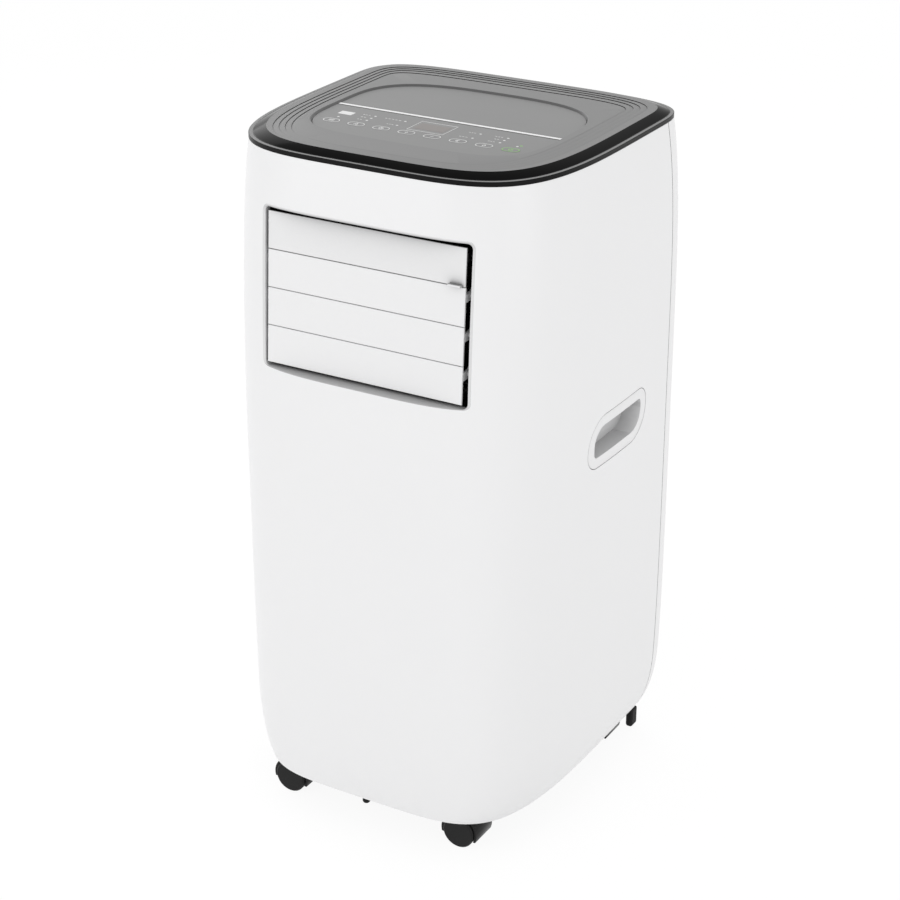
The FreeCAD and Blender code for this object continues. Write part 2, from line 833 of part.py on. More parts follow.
def make_lenses():
    height = mm("overlay_thickness") + LENS_PROUD
    return Part.makeCompound([
        Part.makeCylinder(mm("lens_radius"), height, Vector(x, y, RECESS_FLOOR))
        for x, y in LENS_PLACES
    ])


piece("indicator_lenses", feature("indicator_lens_set", make_lenses()))

SEAT_FORMULA = "lid_seat + lid_thickness - recess_depth"
piece("display_window", block(
    "display_glass", "display_length", "display_width", f"overlay_thickness + {LENS_PROUD}",
    "-display_length / 2", "display_line - display_width / 2", SEAT_FORMULA,
))
piece("receiver_window", block(
    "receiver_glass", "receiver_length", "receiver_width", f"overlay_thickness + {LENS_PROUD}",
    f"{RECEIVER[0]} - receiver_length / 2", f"{RECEIVER[1]} - receiver_width / 2", SEAT_FORMULA,
))
piece("trim_strip", block(
    "panel_strip", "strip_length", "strip_width", "overlay_thickness + 0.3",
    "-strip_length / 2", "strip_position - strip_width / 2", SEAT_FORMULA,
))

# ---------------------------------------------------------------- louvre

PIN_DEPTH = mm("pin_setback")
PIN_SHORT = 0.4  # how far a pin's end stays inside the frame's outer face
SLAT_EDGE = 0.7
EAR = 2  # thickness of the ear at each end of a slat
EAR_RADIUS = 4
CRANK_RADIUS = 3
LINK_GAP = 0.6
TAB_LENGTH = 13
TAB_REACH = 5
TAB_HEIGHT = 2
TAB_EDGE = 3  # from the tab to the slat's end
TAB_ROUNDING = 0.6
CRANK_PIN = 1.5
CRANK_Y = PIN_DEPTH + mm("crank_reach")
CRANK_Z = mm("pin_rise") + mm("crank_rise")
FRAME_HALF = mm("frame_half_width")
FRAME_NEAR = mm("frame_setback")
FRAME_FAR = mm("frame_setback") + mm("frame_depth")
DUCT_TOP = THROAT_TOP + 1
DUCT_BOTTOM = OPENING_BOTTOM - 1
GUARD = 3  # thickness of the outlet guard
GUARD_RIM = 4
GUARD_BAR = 2.2
GUARD_COLUMNS = 12
GUARD_ROWS = 4


def slat_centre(index):
    """Height of a slat's middle above the middle of the bank."""
    return BANK_TOP - (index + 0.5) * mm("slat_pitch")


def x_rod(radius, start, end, y, z):
    return Part.makeCylinder(radius, end - start, Vector(start, y, z), Vector(1, 0, 0))


def ear_plate(start, end, points, radius):
    """A flat link: a rounded plate through two points, across X."""
    (y0, z0), (y1, z1) = points
    along = Vector(0, y1 - y0, z1 - z0)
    turn = FreeCAD.Rotation(Vector(0, 0, 1), along)
    bar = Part.makeBox(end - start, 2 * radius, along.Length, Vector(start, -radius, 0))
    angle = math.degrees(math.atan2(-(y1 - y0), z1 - z0))
    bar.Placement = FreeCAD.Placement(Vector(0, y0, z0), FreeCAD.Rotation(Vector(1, 0, 0), angle))
    bar = bar.copy()
    return bar.fuse([x_rod(radius, start, end, y0, z0), x_rod(radius, start, end, y1, z1)])


def make_slat(index):
    """A closed slat: a flat blade with rounded front edges, an ear and pin at each end, and a crank pin."""
    half = mm("slat_half_width")
    low = -(mm("slat_pitch") - mm("slat_gap")) / 2
    blade = Part.makeBox(2 * half, mm("slat_thickness"), -2 * low, Vector(-half, 0, low))
    front_edges = [
        edge for edge in blade.Edges
        if all(abs(vertex.Point.y) < 0.01 for vertex in edge.Vertexes)
    ]
    blade = blade.makeFillet(SLAT_EDGE, front_edges)
    rise = mm("pin_rise")
    root = (EAR_RADIUS + 0.2, rise - 1)  # the ear stays behind the slat's front face
    added = []
    for side in (-1, 1):
        inner = side * (half - EAR)
        start, end = sorted((inner, side * half))
        added.append(ear_plate(start, end, (root, (PIN_DEPTH, rise)), EAR_RADIUS))
        pin_start, pin_end = sorted((inner, side * (FRAME_HALF + mm("frame_wall") - PIN_SHORT)))
        added.append(x_rod(mm("pin_radius"), pin_start, pin_end, PIN_DEPTH, rise))
    added.append(ear_plate(half - EAR, half, ((PIN_DEPTH, rise), (CRANK_Y, CRANK_Z)), CRANK_RADIUS))
    added.append(x_rod(CRANK_PIN, half - EAR, half + LINK_GAP + mm("link_thickness"), CRANK_Y, CRANK_Z))
    if index == 0:
        tab = Part.makeBox(
            TAB_LENGTH, TAB_REACH + 0.5, TAB_HEIGHT, Vector(half - TAB_EDGE - TAB_LENGTH, -TAB_REACH, low)
        )
        tab_edges = [
            edge for edge in tab.Edges
            if all(abs(vertex.Point.y + TAB_REACH) < 0.01 for vertex in edge.Vertexes)
        ]
        added.append(tab.makeFillet(TAB_ROUNDING, tab_edges))
    slat = blade.fuse(added).removeSplitter()
    slat.translate(Vector(0, 0, slat_centre(index)))
    return in_louvre(slat)


for index in range(SLATS):
    piece(f"louvre_slat_{index + 1}", feature(f"slat_{index + 1}_blade", make_slat(index)))


def make_link_bar():
    """The bar that joins the four crank pins, so that one finger moves every slat."""
    start = mm("slat_half_width") + LINK_GAP
    end = start + mm("link_thickness")
    top = slat_centre(0) + CRANK_Z
    bottom = slat_centre(SLATS - 1) + CRANK_Z
    bar = ear_plate(start, end, ((CRANK_Y, bottom), (CRANK_Y, top)), mm("link_half_width"))
    holes = [
        x_rod(CRANK_PIN + mm("pin_clearance"), start - 1, end + 1, CRANK_Y, slat_centre(index) + CRANK_Z)
        for index in range(SLATS)
    ]
    return in_louvre(bar.removeSplitter().cut(holes))


piece("louvre_link_bar", feature("link_bar_strip", make_link_bar()))


def make_louvre_frame():
    """The duct mouth behind the casing's opening, with a bore for every slat pin."""
    wall = mm("frame_wall")
    top = DUCT_TOP
    bottom = DUCT_BOTTOM
    outer = Part.makeBox(
        2 * (FRAME_HALF + wall), FRAME_FAR - FRAME_NEAR, top - bottom + 2 * wall,
        Vector(-FRAME_HALF - wall, FRAME_NEAR, bottom - wall),
    )
    inner = Part.makeBox(
        2 * FRAME_HALF, FRAME_FAR, top - bottom, Vector(-FRAME_HALF, 0, bottom)
    )
    bores = [
        x_rod(mm("pin_radius") + mm("pin_clearance"), -2 * FRAME_HALF, 2 * FRAME_HALF,
              PIN_DEPTH, slat_centre(index) + mm("pin_rise"))
        for index in range(SLATS)
    ]
    return in_louvre(outer.cut([inner] + bores))


piece("louvre_frame", feature("louvre_frame_duct", make_louvre_frame()))


def make_outlet_guard():
    """A grid across the duct that keeps fingers away from the blower."""
    low = DUCT_BOTTOM + FIT
    high = DUCT_TOP - FIT
    half = FRAME_HALF - FIT
    near = FRAME_FAR - GUARD
    rim = Part.makeBox(2 * half, GUARD, high - low, Vector(-half, near, low))
    rim = rim.cut(Part.makeBox(
        2 * (half - GUARD_RIM), GUARD + 2, high - low - 2 * GUARD_RIM,
        Vector(GUARD_RIM - half, near - 1, low + GUARD_RIM),
    ))
    bars = []
    for step in range(1, GUARD_COLUMNS):
        x = -half + 2 * half * step / GUARD_COLUMNS
        bars.append(Part.makeBox(GUARD_BAR, GUARD, high - low, Vector(x - GUARD_BAR / 2, near, low)))
    for step in range(1, GUARD_ROWS):
        z = low + (high - low) * step / GUARD_ROWS
        bars.append(Part.makeBox(2 * half, GUARD, GUARD_BAR, Vector(-half, near, z - GUARD_BAR / 2)))
    return in_louvre(rim.fuse(bars).removeSplitter())


piece("outlet_guard", feature("outlet_guard_grid", make_outlet_guard()))


# ---------------------------------------------------------------- rear grilles, filters and outlets

SINK = 0.2  # how far the flat pieces at the back stay inside the casing's skin
GRILLE_RIM = 2.4
GRILLE_BORDER = 6
COLUMNS = 3
FILTER_BORDER = 4
FILTER_RIB = 2
FILTER_POCKET = 1.6  # depth of the mesh below the filter's ribs


def rear_plane(prefix):
    """Y of the outer face of a flat grille: just inside the casing's skin at its least prominent corner."""
    half = mm("grille_half_width")
    low, high = mm(prefix + "_grille_bottom"), mm(prefix + "_grille_top")
    return min(skin_rear(half, low), skin_rear(half, high)) - SINK


def make_grille(prefix):
    """A flat grille with level bars, and a rim that holds the filter."""
    half = mm("grille_half_width")
    low, high = mm(prefix + "_grille_bottom"), mm(prefix + "_grille_top")
    face = rear_plane(prefix)
    thickness = mm("grille_thickness")
    depth = thickness + mm("filter_thickness") + FIT
    corner = mm("opening_corner")
    rim = rounded_block(half, low, high, face - depth, face, corner)
    border = GRILLE_BORDER
    windows = [rounded_block(
        half - GRILLE_RIM, low + GRILLE_RIM, high - GRILLE_RIM, face - depth - 1, face - thickness, 4
    )]
    bar = mm("grille_bar")
    pitch = mm("grille_pitch")
    count = int((high - low - 2 * border) // pitch)
    start = (low + high) / 2 - count * pitch / 2
    span = (2 * half - 2 * border) / COLUMNS
    for row in range(count):
        for column in range(COLUMNS):
            x = -half + border + column * span + bar / 2
            z = start + row * pitch + bar / 2
            corner_point = Vector(x, face - 1.5 * thickness, z)
            windows.append(Part.makeBox(span - bar, 2 * thickness, pitch - bar, corner_point))
    return rim.cut(windows)


def make_filter(prefix):
    """A washable filter: a mesh pad in a ribbed frame, seated in the grille's rim."""
    half = mm("grille_half_width") - GRILLE_RIM - FIT
    low = mm(prefix + "_grille_bottom") + GRILLE_RIM + FIT
    high = mm(prefix + "_grille_top") - GRILLE_RIM - FIT
    far = rear_plane(prefix) - mm("grille_thickness")
    near = far - mm("filter_thickness")
    frame = rounded_block(half, low, high, near, far, 3)
    windows = []
    rows = 2 if prefix == "lower" else 3
    border = FILTER_BORDER
    rib = FILTER_RIB
    span_x = 2 * (half - border) / COLUMNS
    span_z = (high - low - 2 * border) / rows
    for column in range(COLUMNS):
        for row in range(rows):
            x = -half + border + column * span_x + rib / 2
            z = low + border + row * span_z + rib / 2
            for start in (near - 1, far - FILTER_POCKET):
                windows.append(Part.makeBox(
                    span_x - rib, FILTER_POCKET + 1, span_z - rib, Vector(x, start, z)
                ))
    return frame.cut(windows)


for prefix in ("upper", "lower"):
    piece(f"{prefix}_intake_grille", feature(f"{prefix}_grille_panel", make_grille(prefix)))
    piece(f"{prefix}_filter", feature(f"{prefix}_filter_frame", make_filter(prefix)))


COLLAR_FLANGE = 9
FLANGE_THICKNESS = 2.4


def make_collar():
    """The round outlet that takes the exhaust hose: a smooth bore with a flange inside the casing."""
    height = mm("exhaust_height")
    radius = mm("exhaust_radius")
    wall = mm("collar_wall")
    face = skin_rear(0, height) - SINK
    near = face - mm("collar_depth")
    inner_skin = skin_rear(radius + COLLAR_FLANGE, height) - WALL - 2 * FIT
    body = rear_rod(radius + wall, 0, height, near, face)
    flange = rear_rod(radius + COLLAR_FLANGE, 0, height, inner_skin - FLANGE_THICKNESS, inner_skin)
    bore = rear_rod(radius, 0, height, near - 1, face + 1)
    return body.fuse(flange).cut(bore)


piece("exhaust_collar", feature("exhaust_collar_ring", make_collar()))


SPOUT_FACE = skin_rear(SPOUT_X, SPOUT_HEIGHT + SPOUT_RADIUS + 2) + FIT
SPOUT_START = skin_rear(SPOUT_X, SPOUT_HEIGHT) - SPOUT_LENGTH


def make_spout():
    """The drain: a short tube through the rear wall and the rim of the pan."""
    body = rear_rod(SPOUT_RADIUS, SPOUT_X, SPOUT_HEIGHT, SPOUT_START, SPOUT_FACE)
    bore = rear_rod(SPOUT_RADIUS - SPOUT_WALL, SPOUT_X, SPOUT_HEIGHT, SPOUT_START - 1, SPOUT_FACE + 1)
    return body.cut(bore)


PLUG_HEAD = 2
PLUG_GRIP = Vector(2, 5, 9)


def make_plug():
    """A rubber plug pushed into the drain, with a flat grip."""
    shank_radius = SPOUT_RADIUS - SPOUT_WALL - OPENING_PLAY
    head_start = SPOUT_FACE + 0.1
    shank = rear_rod(shank_radius, SPOUT_X, SPOUT_HEIGHT, SPOUT_START + 1, head_start)
    head = rear_rod(SPOUT_RADIUS + 1.5, SPOUT_X, SPOUT_HEIGHT, head_start, head_start + PLUG_HEAD)
    grip = Part.makeBox(
        PLUG_GRIP.x, PLUG_GRIP.y, PLUG_GRIP.z,
        Vector(SPOUT_X - PLUG_GRIP.x / 2, head_start + PLUG_HEAD - 0.5, SPOUT_HEIGHT - PLUG_GRIP.z / 2),
    )
    return shank.fuse([head, grip]).removeSplitter()


piece("drain_spout", feature("drain_spout_tube", make_spout()))
piece("drain_plug", feature("drain_plug_rubber", make_plug()))


def make_inlet():
    """The bushing where the supply lead leaves, with no lead fitted."""
    skin = skin_rear(INLET_X, INLET_HEIGHT)
    lip_face = skin - WALL - 1
    body = rear_rod(INLET_RADIUS, INLET_X, INLET_HEIGHT, skin - INLET_LENGTH, skin + FIT)
    lip = rear_rod(INLET_RADIUS + 3, INLET_X, INLET_HEIGHT, lip_face - FLANGE_THICKNESS, lip_face)
    bore = rear_rod(INLET_BORE, INLET_X, INLET_HEIGHT, skin - INLET_LENGTH - 1, skin + 2)
    return body.fuse(lip).cut(bore)


piece("cord_inlet", feature("cord_inlet_bush", make_inlet()))


# ---------------------------------------------------------------- upper machinery

TRAY_TOP = mm("tray_height") + mm("tray_thickness")
PIPE_X = 117
LIQUID_Y = 131
SUCTION_Y = 132
DISCHARGE_Y = 124
PIPE_ROOM = 1.5
BASIN_HALF = 136
BASIN_FRONT = -36
BASIN_LENGTH = 180
BASIN_HEIGHT = 8
BASIN_WALL = 3


def make_tray():
    """The floor between the two compartments: a level plate with a raised basin under the coil."""
    low, high = mm("tray_height"), TRAY_TOP
    deck = stacked([casing_outline(low, WALL + FIT), casing_outline(high, WALL + FIT)])
    half, front, wall = BASIN_HALF, BASIN_FRONT, BASIN_WALL
    basin = Part.makeBox(2 * half, BASIN_LENGTH, BASIN_HEIGHT, Vector(-half, front, high))
    basin = basin.cut(Part.makeBox(
        2 * (half - wall), BASIN_LENGTH - 2 * wall, BASIN_HEIGHT, Vector(wall - half, front + wall, high)
    ))
    holes = [
        Part.makeCylinder(mm("pipe_radius") + PIPE_ROOM, 40, Vector(x, y, low - 5))
        for x, y in ((PIPE_X, LIQUID_Y), (-PIPE_X, SUCTION_Y))
    ]
    return deck.fuse(basin).cut(holes)


piece("drip_tray", feature("drip_tray_deck", make_tray()))


def make_coil(prefix, bottom, top):
    """A finned block between two end plates."""
    core = block(
        f"{prefix}_coil_fins", "2 * coil_half_width - 3", "coil_thickness - 2", f"{top} - {bottom} - 2",
        "-coil_half_width + 1.5", "coil_line + 1", f"{bottom} + 1",
    )
    ends = [
        block(f"{prefix}_coil_end_{name}", "1.5", "coil_thickness", f"{top} - {bottom}", x,
              "coil_line", bottom)
        for name, x in (("a", "-coil_half_width"), ("b", "coil_half_width - 1.5"))
    ]
    return fuse(f"{prefix}_coil_block", core, *ends)


piece("evaporator_coil", make_coil("evaporator", "(tray_height + tray_thickness)", "evaporator_top"))
piece("condenser_coil", make_coil("condenser", "(pan_bottom + pan_thickness)", "condenser_top"))

CROSS_Y = -35
CROSS_Z = mm("louvre_centre")
PLATE_AT = 107
SCROLL_WALL = mm("scroll_wall")
SHAFT = mm("shaft_radius")
SHAFT_BORE = SHAFT + 0.05


def curved_wall(points, half, thickness):
    """A wall of even thickness on a line of points in the YZ plane, from -half to half across X."""
    outer = []
    inner = []
    for index, (y, z) in enumerate(points):
        before = points[max(index - 1, 0)]
        after = points[min(index + 1, len(points) - 1)]
        run = math.hypot(after[0] - before[0], after[1] - before[1])
        side_y = -(after[1] - before[1]) / run * thickness / 2
        side_z = (after[0] - before[0]) / run * thickness / 2
        outer.append(Vector(-half, y + side_y, z + side_z))
        inner.append(Vector(-half, y - side_y, z - side_z))
    outline = outer + inner[::-1]
    return Part.Face(Part.makePolygon(outline + outline[:1])).extrude(Vector(2 * half, 0, 0))


def make_cross_scroll():
    """Blower housing: two end plates, a spiral wall under and behind the wheel, and a tongue above it."""
    radius = mm("cross_radius")
    half = PLATE_AT + SCROLL_WALL
    front = LOUVRE.Base.y + 20
    back = mm("coil_line") - FIT
    low = TRAY_TOP + BASIN_HEIGHT + FIT
    plates = []
    for side in (-1, 1):
        start = PLATE_AT if side > 0 else -half
        plates.append(Part.makeBox(
            SCROLL_WALL, back - front, mm("evaporator_top") - low, Vector(start, front, low)
        ))
    spiral = [(front, LOUVRE.Base.z + OPENING_BOTTOM + 1)]
    for step in range(13):
        angle = math.radians(-100 + 10 * step)
        growth = radius + 5 + 14 * (1 - step / 12)
        spiral.append((CROSS_Y + growth * math.cos(angle), CROSS_Z + growth * math.sin(angle)))
    tongue = [(front, LOUVRE.Base.z + OPENING_TOP - 1)]
    for step in range(4):
        angle = math.radians(125 - 12 * step)
        tongue.append((
            CROSS_Y + (radius + 5) * math.cos(angle), CROSS_Z + (radius + 5) * math.sin(angle)
        ))
    walls = [curved_wall(line, half - 0.5, SCROLL_WALL) for line in (spiral, tongue)]
    frame_room = in_louvre(Part.makeBox(
        2 * half + 2, FRAME_FAR + FIT + 60, 400, Vector(-half - 1, -60, -200)
    ))
    bore = x_rod(SHAFT_BORE, -half - 1, half + 1, CROSS_Y, CROSS_Z)
    return plates[0].fuse([plates[1]] + walls).cut([frame_room, bore])


piece("evaporator_scroll", feature("cross_flow_housing", make_cross_scroll()))


BLADE = 1.2
BLADE_PITCH = 25  # degrees that each blade leans
SHAFT_END = 20  # how far a shaft reaches into its motor


def bladed_wheel(radius, depth, blades, start, end, y, z, discs):
    """A drum of straight blades between discs, on a bore-free axis along X."""
    parts = []
    for index in range(blades):
        blade = Part.makeBox(
            end - start, BLADE, depth, Vector(start, -BLADE / 2, radius - depth - 0.2)
        )
        blade.rotate(Vector(), Vector(1, 0, 0), BLADE_PITCH + 360 * index / blades)
        blade.translate(Vector(0, y, z))
        parts.append(blade)
    for position, thickness, hole in discs:
        disc = x_rod(radius, position, position + thickness, y, z)
        if hole > 0:
            disc = disc.cut(x_rod(hole, position - 1, position + thickness + 1, y, z))
        parts.append(disc)
    return parts


def make_cross_wheel():
    """The cross-flow wheel, with its shaft."""
    half = mm("cross_half_length")
    parts = bladed_wheel(
        mm("cross_radius"), 9, 24, -half, half, CROSS_Y, CROSS_Z,
        ((-half, 2, 0), (-half / 3 - 1, 2, 30), (half / 3 - 1, 2, 30), (half - 2, 2, 0)),
    )
    shaft = x_rod(SHAFT, -PLATE_AT - SCROLL_WALL, PLATE_AT + SCROLL_WALL + SHAFT_END, CROSS_Y, CROSS_Z)
    return shaft.fuse(parts).removeSplitter()


piece("evaporator_wheel", feature("cross_flow_wheel", make_cross_wheel()))


def make_motor(radius, start, end, y, z):
    """A canned motor along X, with a mounting flange at its start and a bore for the shaft."""
    can = x_rod(radius, start + 3, end, y, z)
    far_edges = [edge for edge in can.Edges if edge.BoundBox.XMin > end - 0.01]
    can = can.makeFillet(4, far_edges)
    flange = x_rod(radius + 8, start, start + 4, y, z)
    bore = x_rod(SHAFT_BORE, start - 1, start + SHAFT_END + 1, y, z)
    return can.fuse(flange).cut(bore)


MOTOR_START = PLATE_AT + SCROLL_WALL
CROSS_MOTOR = make_motor(28, MOTOR_START, MOTOR_START + 44, CROSS_Y, CROSS_Z)
piece("evaporator_motor", feature("cross_flow_motor", CROSS_MOTOR))


# ---------------------------------------------------------------- lower machinery

BLOWER_Y = 10
BLOWER_Z = 285
BLOWER_ROOM = 28  # gap between the wheel and the spiral's wall
SCROLL_HALF = mm("blower_width") / 2 + 10
DUCT_START = 60
FOOT = Vector(3, 50, 0)


def make_blower_scroll():
    """A round blower housing with a duct to the exhaust collar, standing on two feet in the pan."""
    radius = mm("blower_radius") + BLOWER_ROOM
    wall = SCROLL_WALL
    duct = mm("exhaust_radius")
    height = mm("exhaust_height")
    far = skin_rear(0, height) - SINK - mm("collar_depth") - FIT
    forms = []
    for grown, end in ((wall, far), (0, far + 1)):
        drum = x_rod(radius + grown, -SCROLL_HALF - grown, SCROLL_HALF + grown, BLOWER_Y, BLOWER_Z)
        mouth = Part.makeBox(
            2 * (duct + grown), end - DUCT_START + grown, 2 * (duct + grown),
            Vector(-duct - grown, DUCT_START - grown, height - duct - grown),
        )
        forms.append(drum.fuse(mouth))
    outer, inner = forms
    feet = [
        Part.makeBox(
            FOOT.x, FOOT.y, BLOWER_Z - PAN_FLOOR - radius + 12,
            Vector(side * (SCROLL_HALF - 4) - FOOT.x / 2, BLOWER_Y - FOOT.y / 2, PAN_FLOOR),
        )
        for side in (-1, 1)
    ]
    inlet = x_rod(mm("blower_radius") - 8, -SCROLL_HALF - wall - 1, 0, BLOWER_Y, BLOWER_Z)
    bore = x_rod(SHAFT_BORE, 0, SCROLL_HALF + wall + 1, BLOWER_Y, BLOWER_Z)
    return outer.fuse(feet).cut([inner, inlet, bore])


piece("condenser_scroll", feature("exhaust_blower_housing", make_blower_scroll()))


def make_blower_wheel():
    """The centrifugal wheel: forward blades on a back plate, a front ring and a shaft."""
    half = mm("blower_width") / 2
    radius = mm("blower_radius")
    parts = bladed_wheel(
        radius, 12, 30, -half, half, BLOWER_Y, BLOWER_Z, ((half - 2, 2, 0), (-half, 2, radius - 12))
    )
    hub = x_rod(14, half - 22, half, BLOWER_Y, BLOWER_Z)
    shaft = x_rod(SHAFT, half - 30, SCROLL_HALF + SCROLL_WALL + SHAFT_END, BLOWER_Y, BLOWER_Z)
    return shaft.fuse(parts + [hub]).removeSplitter()


piece("condenser_wheel", feature("exhaust_blower_wheel", make_blower_wheel()))
BLOWER_MOTOR = SCROLL_HALF + SCROLL_WALL
EXHAUST_MOTOR = make_motor(34, BLOWER_MOTOR, BLOWER_MOTOR + 46, BLOWER_Y, BLOWER_Z)
piece("condenser_motor", feature("exhaust_blower_motor", EXHAUST_MOTOR))

COMPRESSOR = (-98, -78)
COMPRESSOR_LIFT = 15  # height of the foot below the pot
COMPRESSOR_TOP = PAN_FLOOR + COMPRESSOR_LIFT + mm("compressor_height")


def make_compressor():
    """A sealed pot with rounded ends on a narrower foot."""
    x, y = COMPRESSOR
    radius = mm("compressor_radius")
    pot = Part.makeCylinder(radius, mm("compressor_height"), Vector(x, y, PAN_FLOOR + COMPRESSOR_LIFT))
    pot = pot.makeFillet(14, [edge for edge in pot.Edges if edge.BoundBox.ZLength < 0.01])
    foot = Part.makeCylinder(34, COMPRESSOR_LIFT + 1, Vector(x, y, PAN_FLOOR))
    return pot.fuse(foot)


piece("compressor", feature("compressor_pot", make_compressor()))


def pipe_run(points, radius, bend):
    """A pipe through points, with straight runs and tangent bends."""
    spots = [Vector(*point) for point in points]
    edges = []
    last = spots[0]
    for before, corner, after in zip(spots, spots[1:], spots[2:]):
        arrive = (before - corner).normalize() * bend
        leave = (after - corner).normalize() * bend
        first, final = corner + arrive, corner + leave
        middle = corner + (arrive + leave) * (1 - math.sqrt(0.5))
        edges.append(Part.LineSegment(last, first).toShape())
        edges.append(Part.Arc(first, middle, final).toShape())
        last = final
    edges.append(Part.LineSegment(last, spots[-1]).toShape())
    path = Part.Wire(edges)
    circle = Part.Wire(Part.makeCircle(radius, spots[0], spots[1] - spots[0]))
    return path.makePipeShell([circle], True, True)


def make_pipes():
    """Copper lines: compressor to condenser, condenser to evaporator, evaporator back to compressor."""
    side = mm("coil_half_width")
    top = COMPRESSOR_TOP
    bend = 8
    out_y = COMPRESSOR[1] + 16
    back_y = COMPRESSOR[1] - 14
    condenser_high, condenser_low = 190, 80
    evaporator_high, evaporator_low = 560, 430
    out_run, back_run = 280, 320
    discharge = [
        (-PIPE_X, out_y, top), (-PIPE_X, out_y, out_run), (-PIPE_X, DISCHARGE_Y, out_run),
        (-PIPE_X, DISCHARGE_Y, condenser_high), (-side, DISCHARGE_Y, condenser_high),
    ]
    liquid = [
        (side, LIQUID_Y, condenser_low), (PIPE_X, LIQUID_Y, condenser_low),
        (PIPE_X, LIQUID_Y, evaporator_low), (side, LIQUID_Y, evaporator_low),
    ]
    suction = [
        (-side, SUCTION_Y, evaporator_high), (-PIPE_X, SUCTION_Y, evaporator_high),
        (-PIPE_X, SUCTION_Y, back_run), (-PIPE_X, back_y, back_run), (-PIPE_X, back_y, top),
    ]
    radius = mm("pipe_radius")
    return Part.makeCompound([pipe_run(line, radius, bend) for line in (discharge, liquid, suction)])


piece("refrigerant_pipes", feature("copper_lines", make_pipes()))
piece("electrical_box", block(
    "electrical_case", "70", "55", "130", "50", "-105", "pan_bottom + pan_thickness",
))


DOME = Vector(-22, -133, 5)
STOP = Vector(141, 135, 3)
STOP_SIZE = Vector(8, 14, 20)
STOP_STEM = Vector(141.8, 135.8, 20)


def make_bumpers():
    """Two small rubber stops under the base: a dome in front and a block at the right rear."""
    dome = Part.makeCylinder(4, PAN_BOTTOM - DOME.z, DOME)
    dome = dome.makeFillet(3, [edge for edge in dome.Edges if edge.BoundBox.ZMax < DOME.z + 0.01])
    stub = Part.makeBox(STOP_SIZE.x, STOP_SIZE.y, STOP_SIZE.z, STOP)
    stub = stub.makeFillet(3, [edge for edge in stub.Edges if edge.BoundBox.ZMin < STOP.z + 1])
    stem = Part.makeCylinder(2.4, PAN_BOTTOM - STOP_STEM.z, STOP_STEM)
    return Part.makeCompound([dome, stub.fuse(stem)])


piece("base_bumpers", feature("rubber_stops", make_bumpers()))


# ---------------------------------------------------------------- check and write

doc.recompute()
for item in doc.Objects:
    if "Invalid" in item.State or "Error" in item.State:
        raise ValueError(f"{item.Name} was not built: {item.State}")
    if hasattr(item, "Shape") and (item.Shape.isNull() or not item.Shape.isValid()):
        raise ValueError(f"{item.Name} has no sound shape")

os.makedirs("parts", exist_ok=True)
for item in NODES:
    item.Shape.exportStep(f"parts/{item.Label}.step")
print(len(NODES), "pieces written")
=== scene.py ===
# %% [markdown]
# # A portable air conditioner
# The engineering model of this machine is packed as a fixed frame: sixty pieces on moving bodies.
# This lesson dresses it for a picture. The white casing and the black lid are made again here as fine,
# smooth meshes, because a big bowed panel shows every flat facet. The small pieces stay as they are and
# get a softened edge and a real finish. Everything is in metres, in the frame's own axes:
# X to the right of someone facing the front, Y to the rear, Z up.

# %% Load the frame
import json
import math

import bmesh
import bpy
import numpy as np
from mathutils import Matrix, Vector


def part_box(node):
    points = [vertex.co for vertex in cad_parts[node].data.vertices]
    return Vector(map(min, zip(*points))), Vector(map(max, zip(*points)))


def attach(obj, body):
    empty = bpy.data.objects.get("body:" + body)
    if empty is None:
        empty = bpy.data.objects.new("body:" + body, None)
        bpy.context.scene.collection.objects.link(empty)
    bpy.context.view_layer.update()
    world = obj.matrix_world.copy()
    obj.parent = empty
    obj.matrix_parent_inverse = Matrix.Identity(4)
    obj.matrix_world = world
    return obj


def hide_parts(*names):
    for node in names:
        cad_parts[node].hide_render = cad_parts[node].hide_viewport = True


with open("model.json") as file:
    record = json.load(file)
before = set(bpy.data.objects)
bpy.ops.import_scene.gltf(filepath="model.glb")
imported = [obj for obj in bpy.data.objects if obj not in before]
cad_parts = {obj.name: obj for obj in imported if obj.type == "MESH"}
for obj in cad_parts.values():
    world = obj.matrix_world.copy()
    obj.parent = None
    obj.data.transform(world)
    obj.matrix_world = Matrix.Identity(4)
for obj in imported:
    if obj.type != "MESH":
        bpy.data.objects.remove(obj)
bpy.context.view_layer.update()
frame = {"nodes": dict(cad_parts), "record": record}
NODES = frame["nodes"]
scene = bpy.context.scene
scene.view_settings.view_transform = "Standard"

# %% [markdown]
# ## The camera
# A long lens from a little more than two metres keeps the upright edges nearly parallel, as in a shop
# picture. The camera is placed by an angle round the machine and an angle above the floor, because those
# two numbers are easy to read and to change.

# %% The camera
CAMERA_AZIMUTH = math.radians(30.13)
CAMERA_ELEVATION = math.radians(24.69)
CAMERA_DISTANCE = 2.2013
AIM = Vector((-0.0018, 0.0025, 0.3529))
FOCAL_LENGTH = 87.8  # millimetres, on a sensor 36 millimetres wide

lens = bpy.data.cameras.new("camera")
lens.lens = FOCAL_LENGTH
lens.sensor_width = 36
lens.clip_end = 50
camera = bpy.data.objects.new("camera", lens)
scene.collection.objects.link(camera)
scene.camera = camera
backwards = Vector((
    math.sin(CAMERA_AZIMUTH) * math.cos(CAMERA_ELEVATION),
    -math.cos(CAMERA_AZIMUTH) * math.cos(CAMERA_ELEVATION),
    math.sin(CAMERA_ELEVATION),
))
camera.location = AIM + backwards * CAMERA_DISTANCE
camera.rotation_euler = (math.pi / 2 - CAMERA_ELEVATION, 0, CAMERA_AZIMUTH)
print("camera at", [round(v, 3) for v in camera.location])

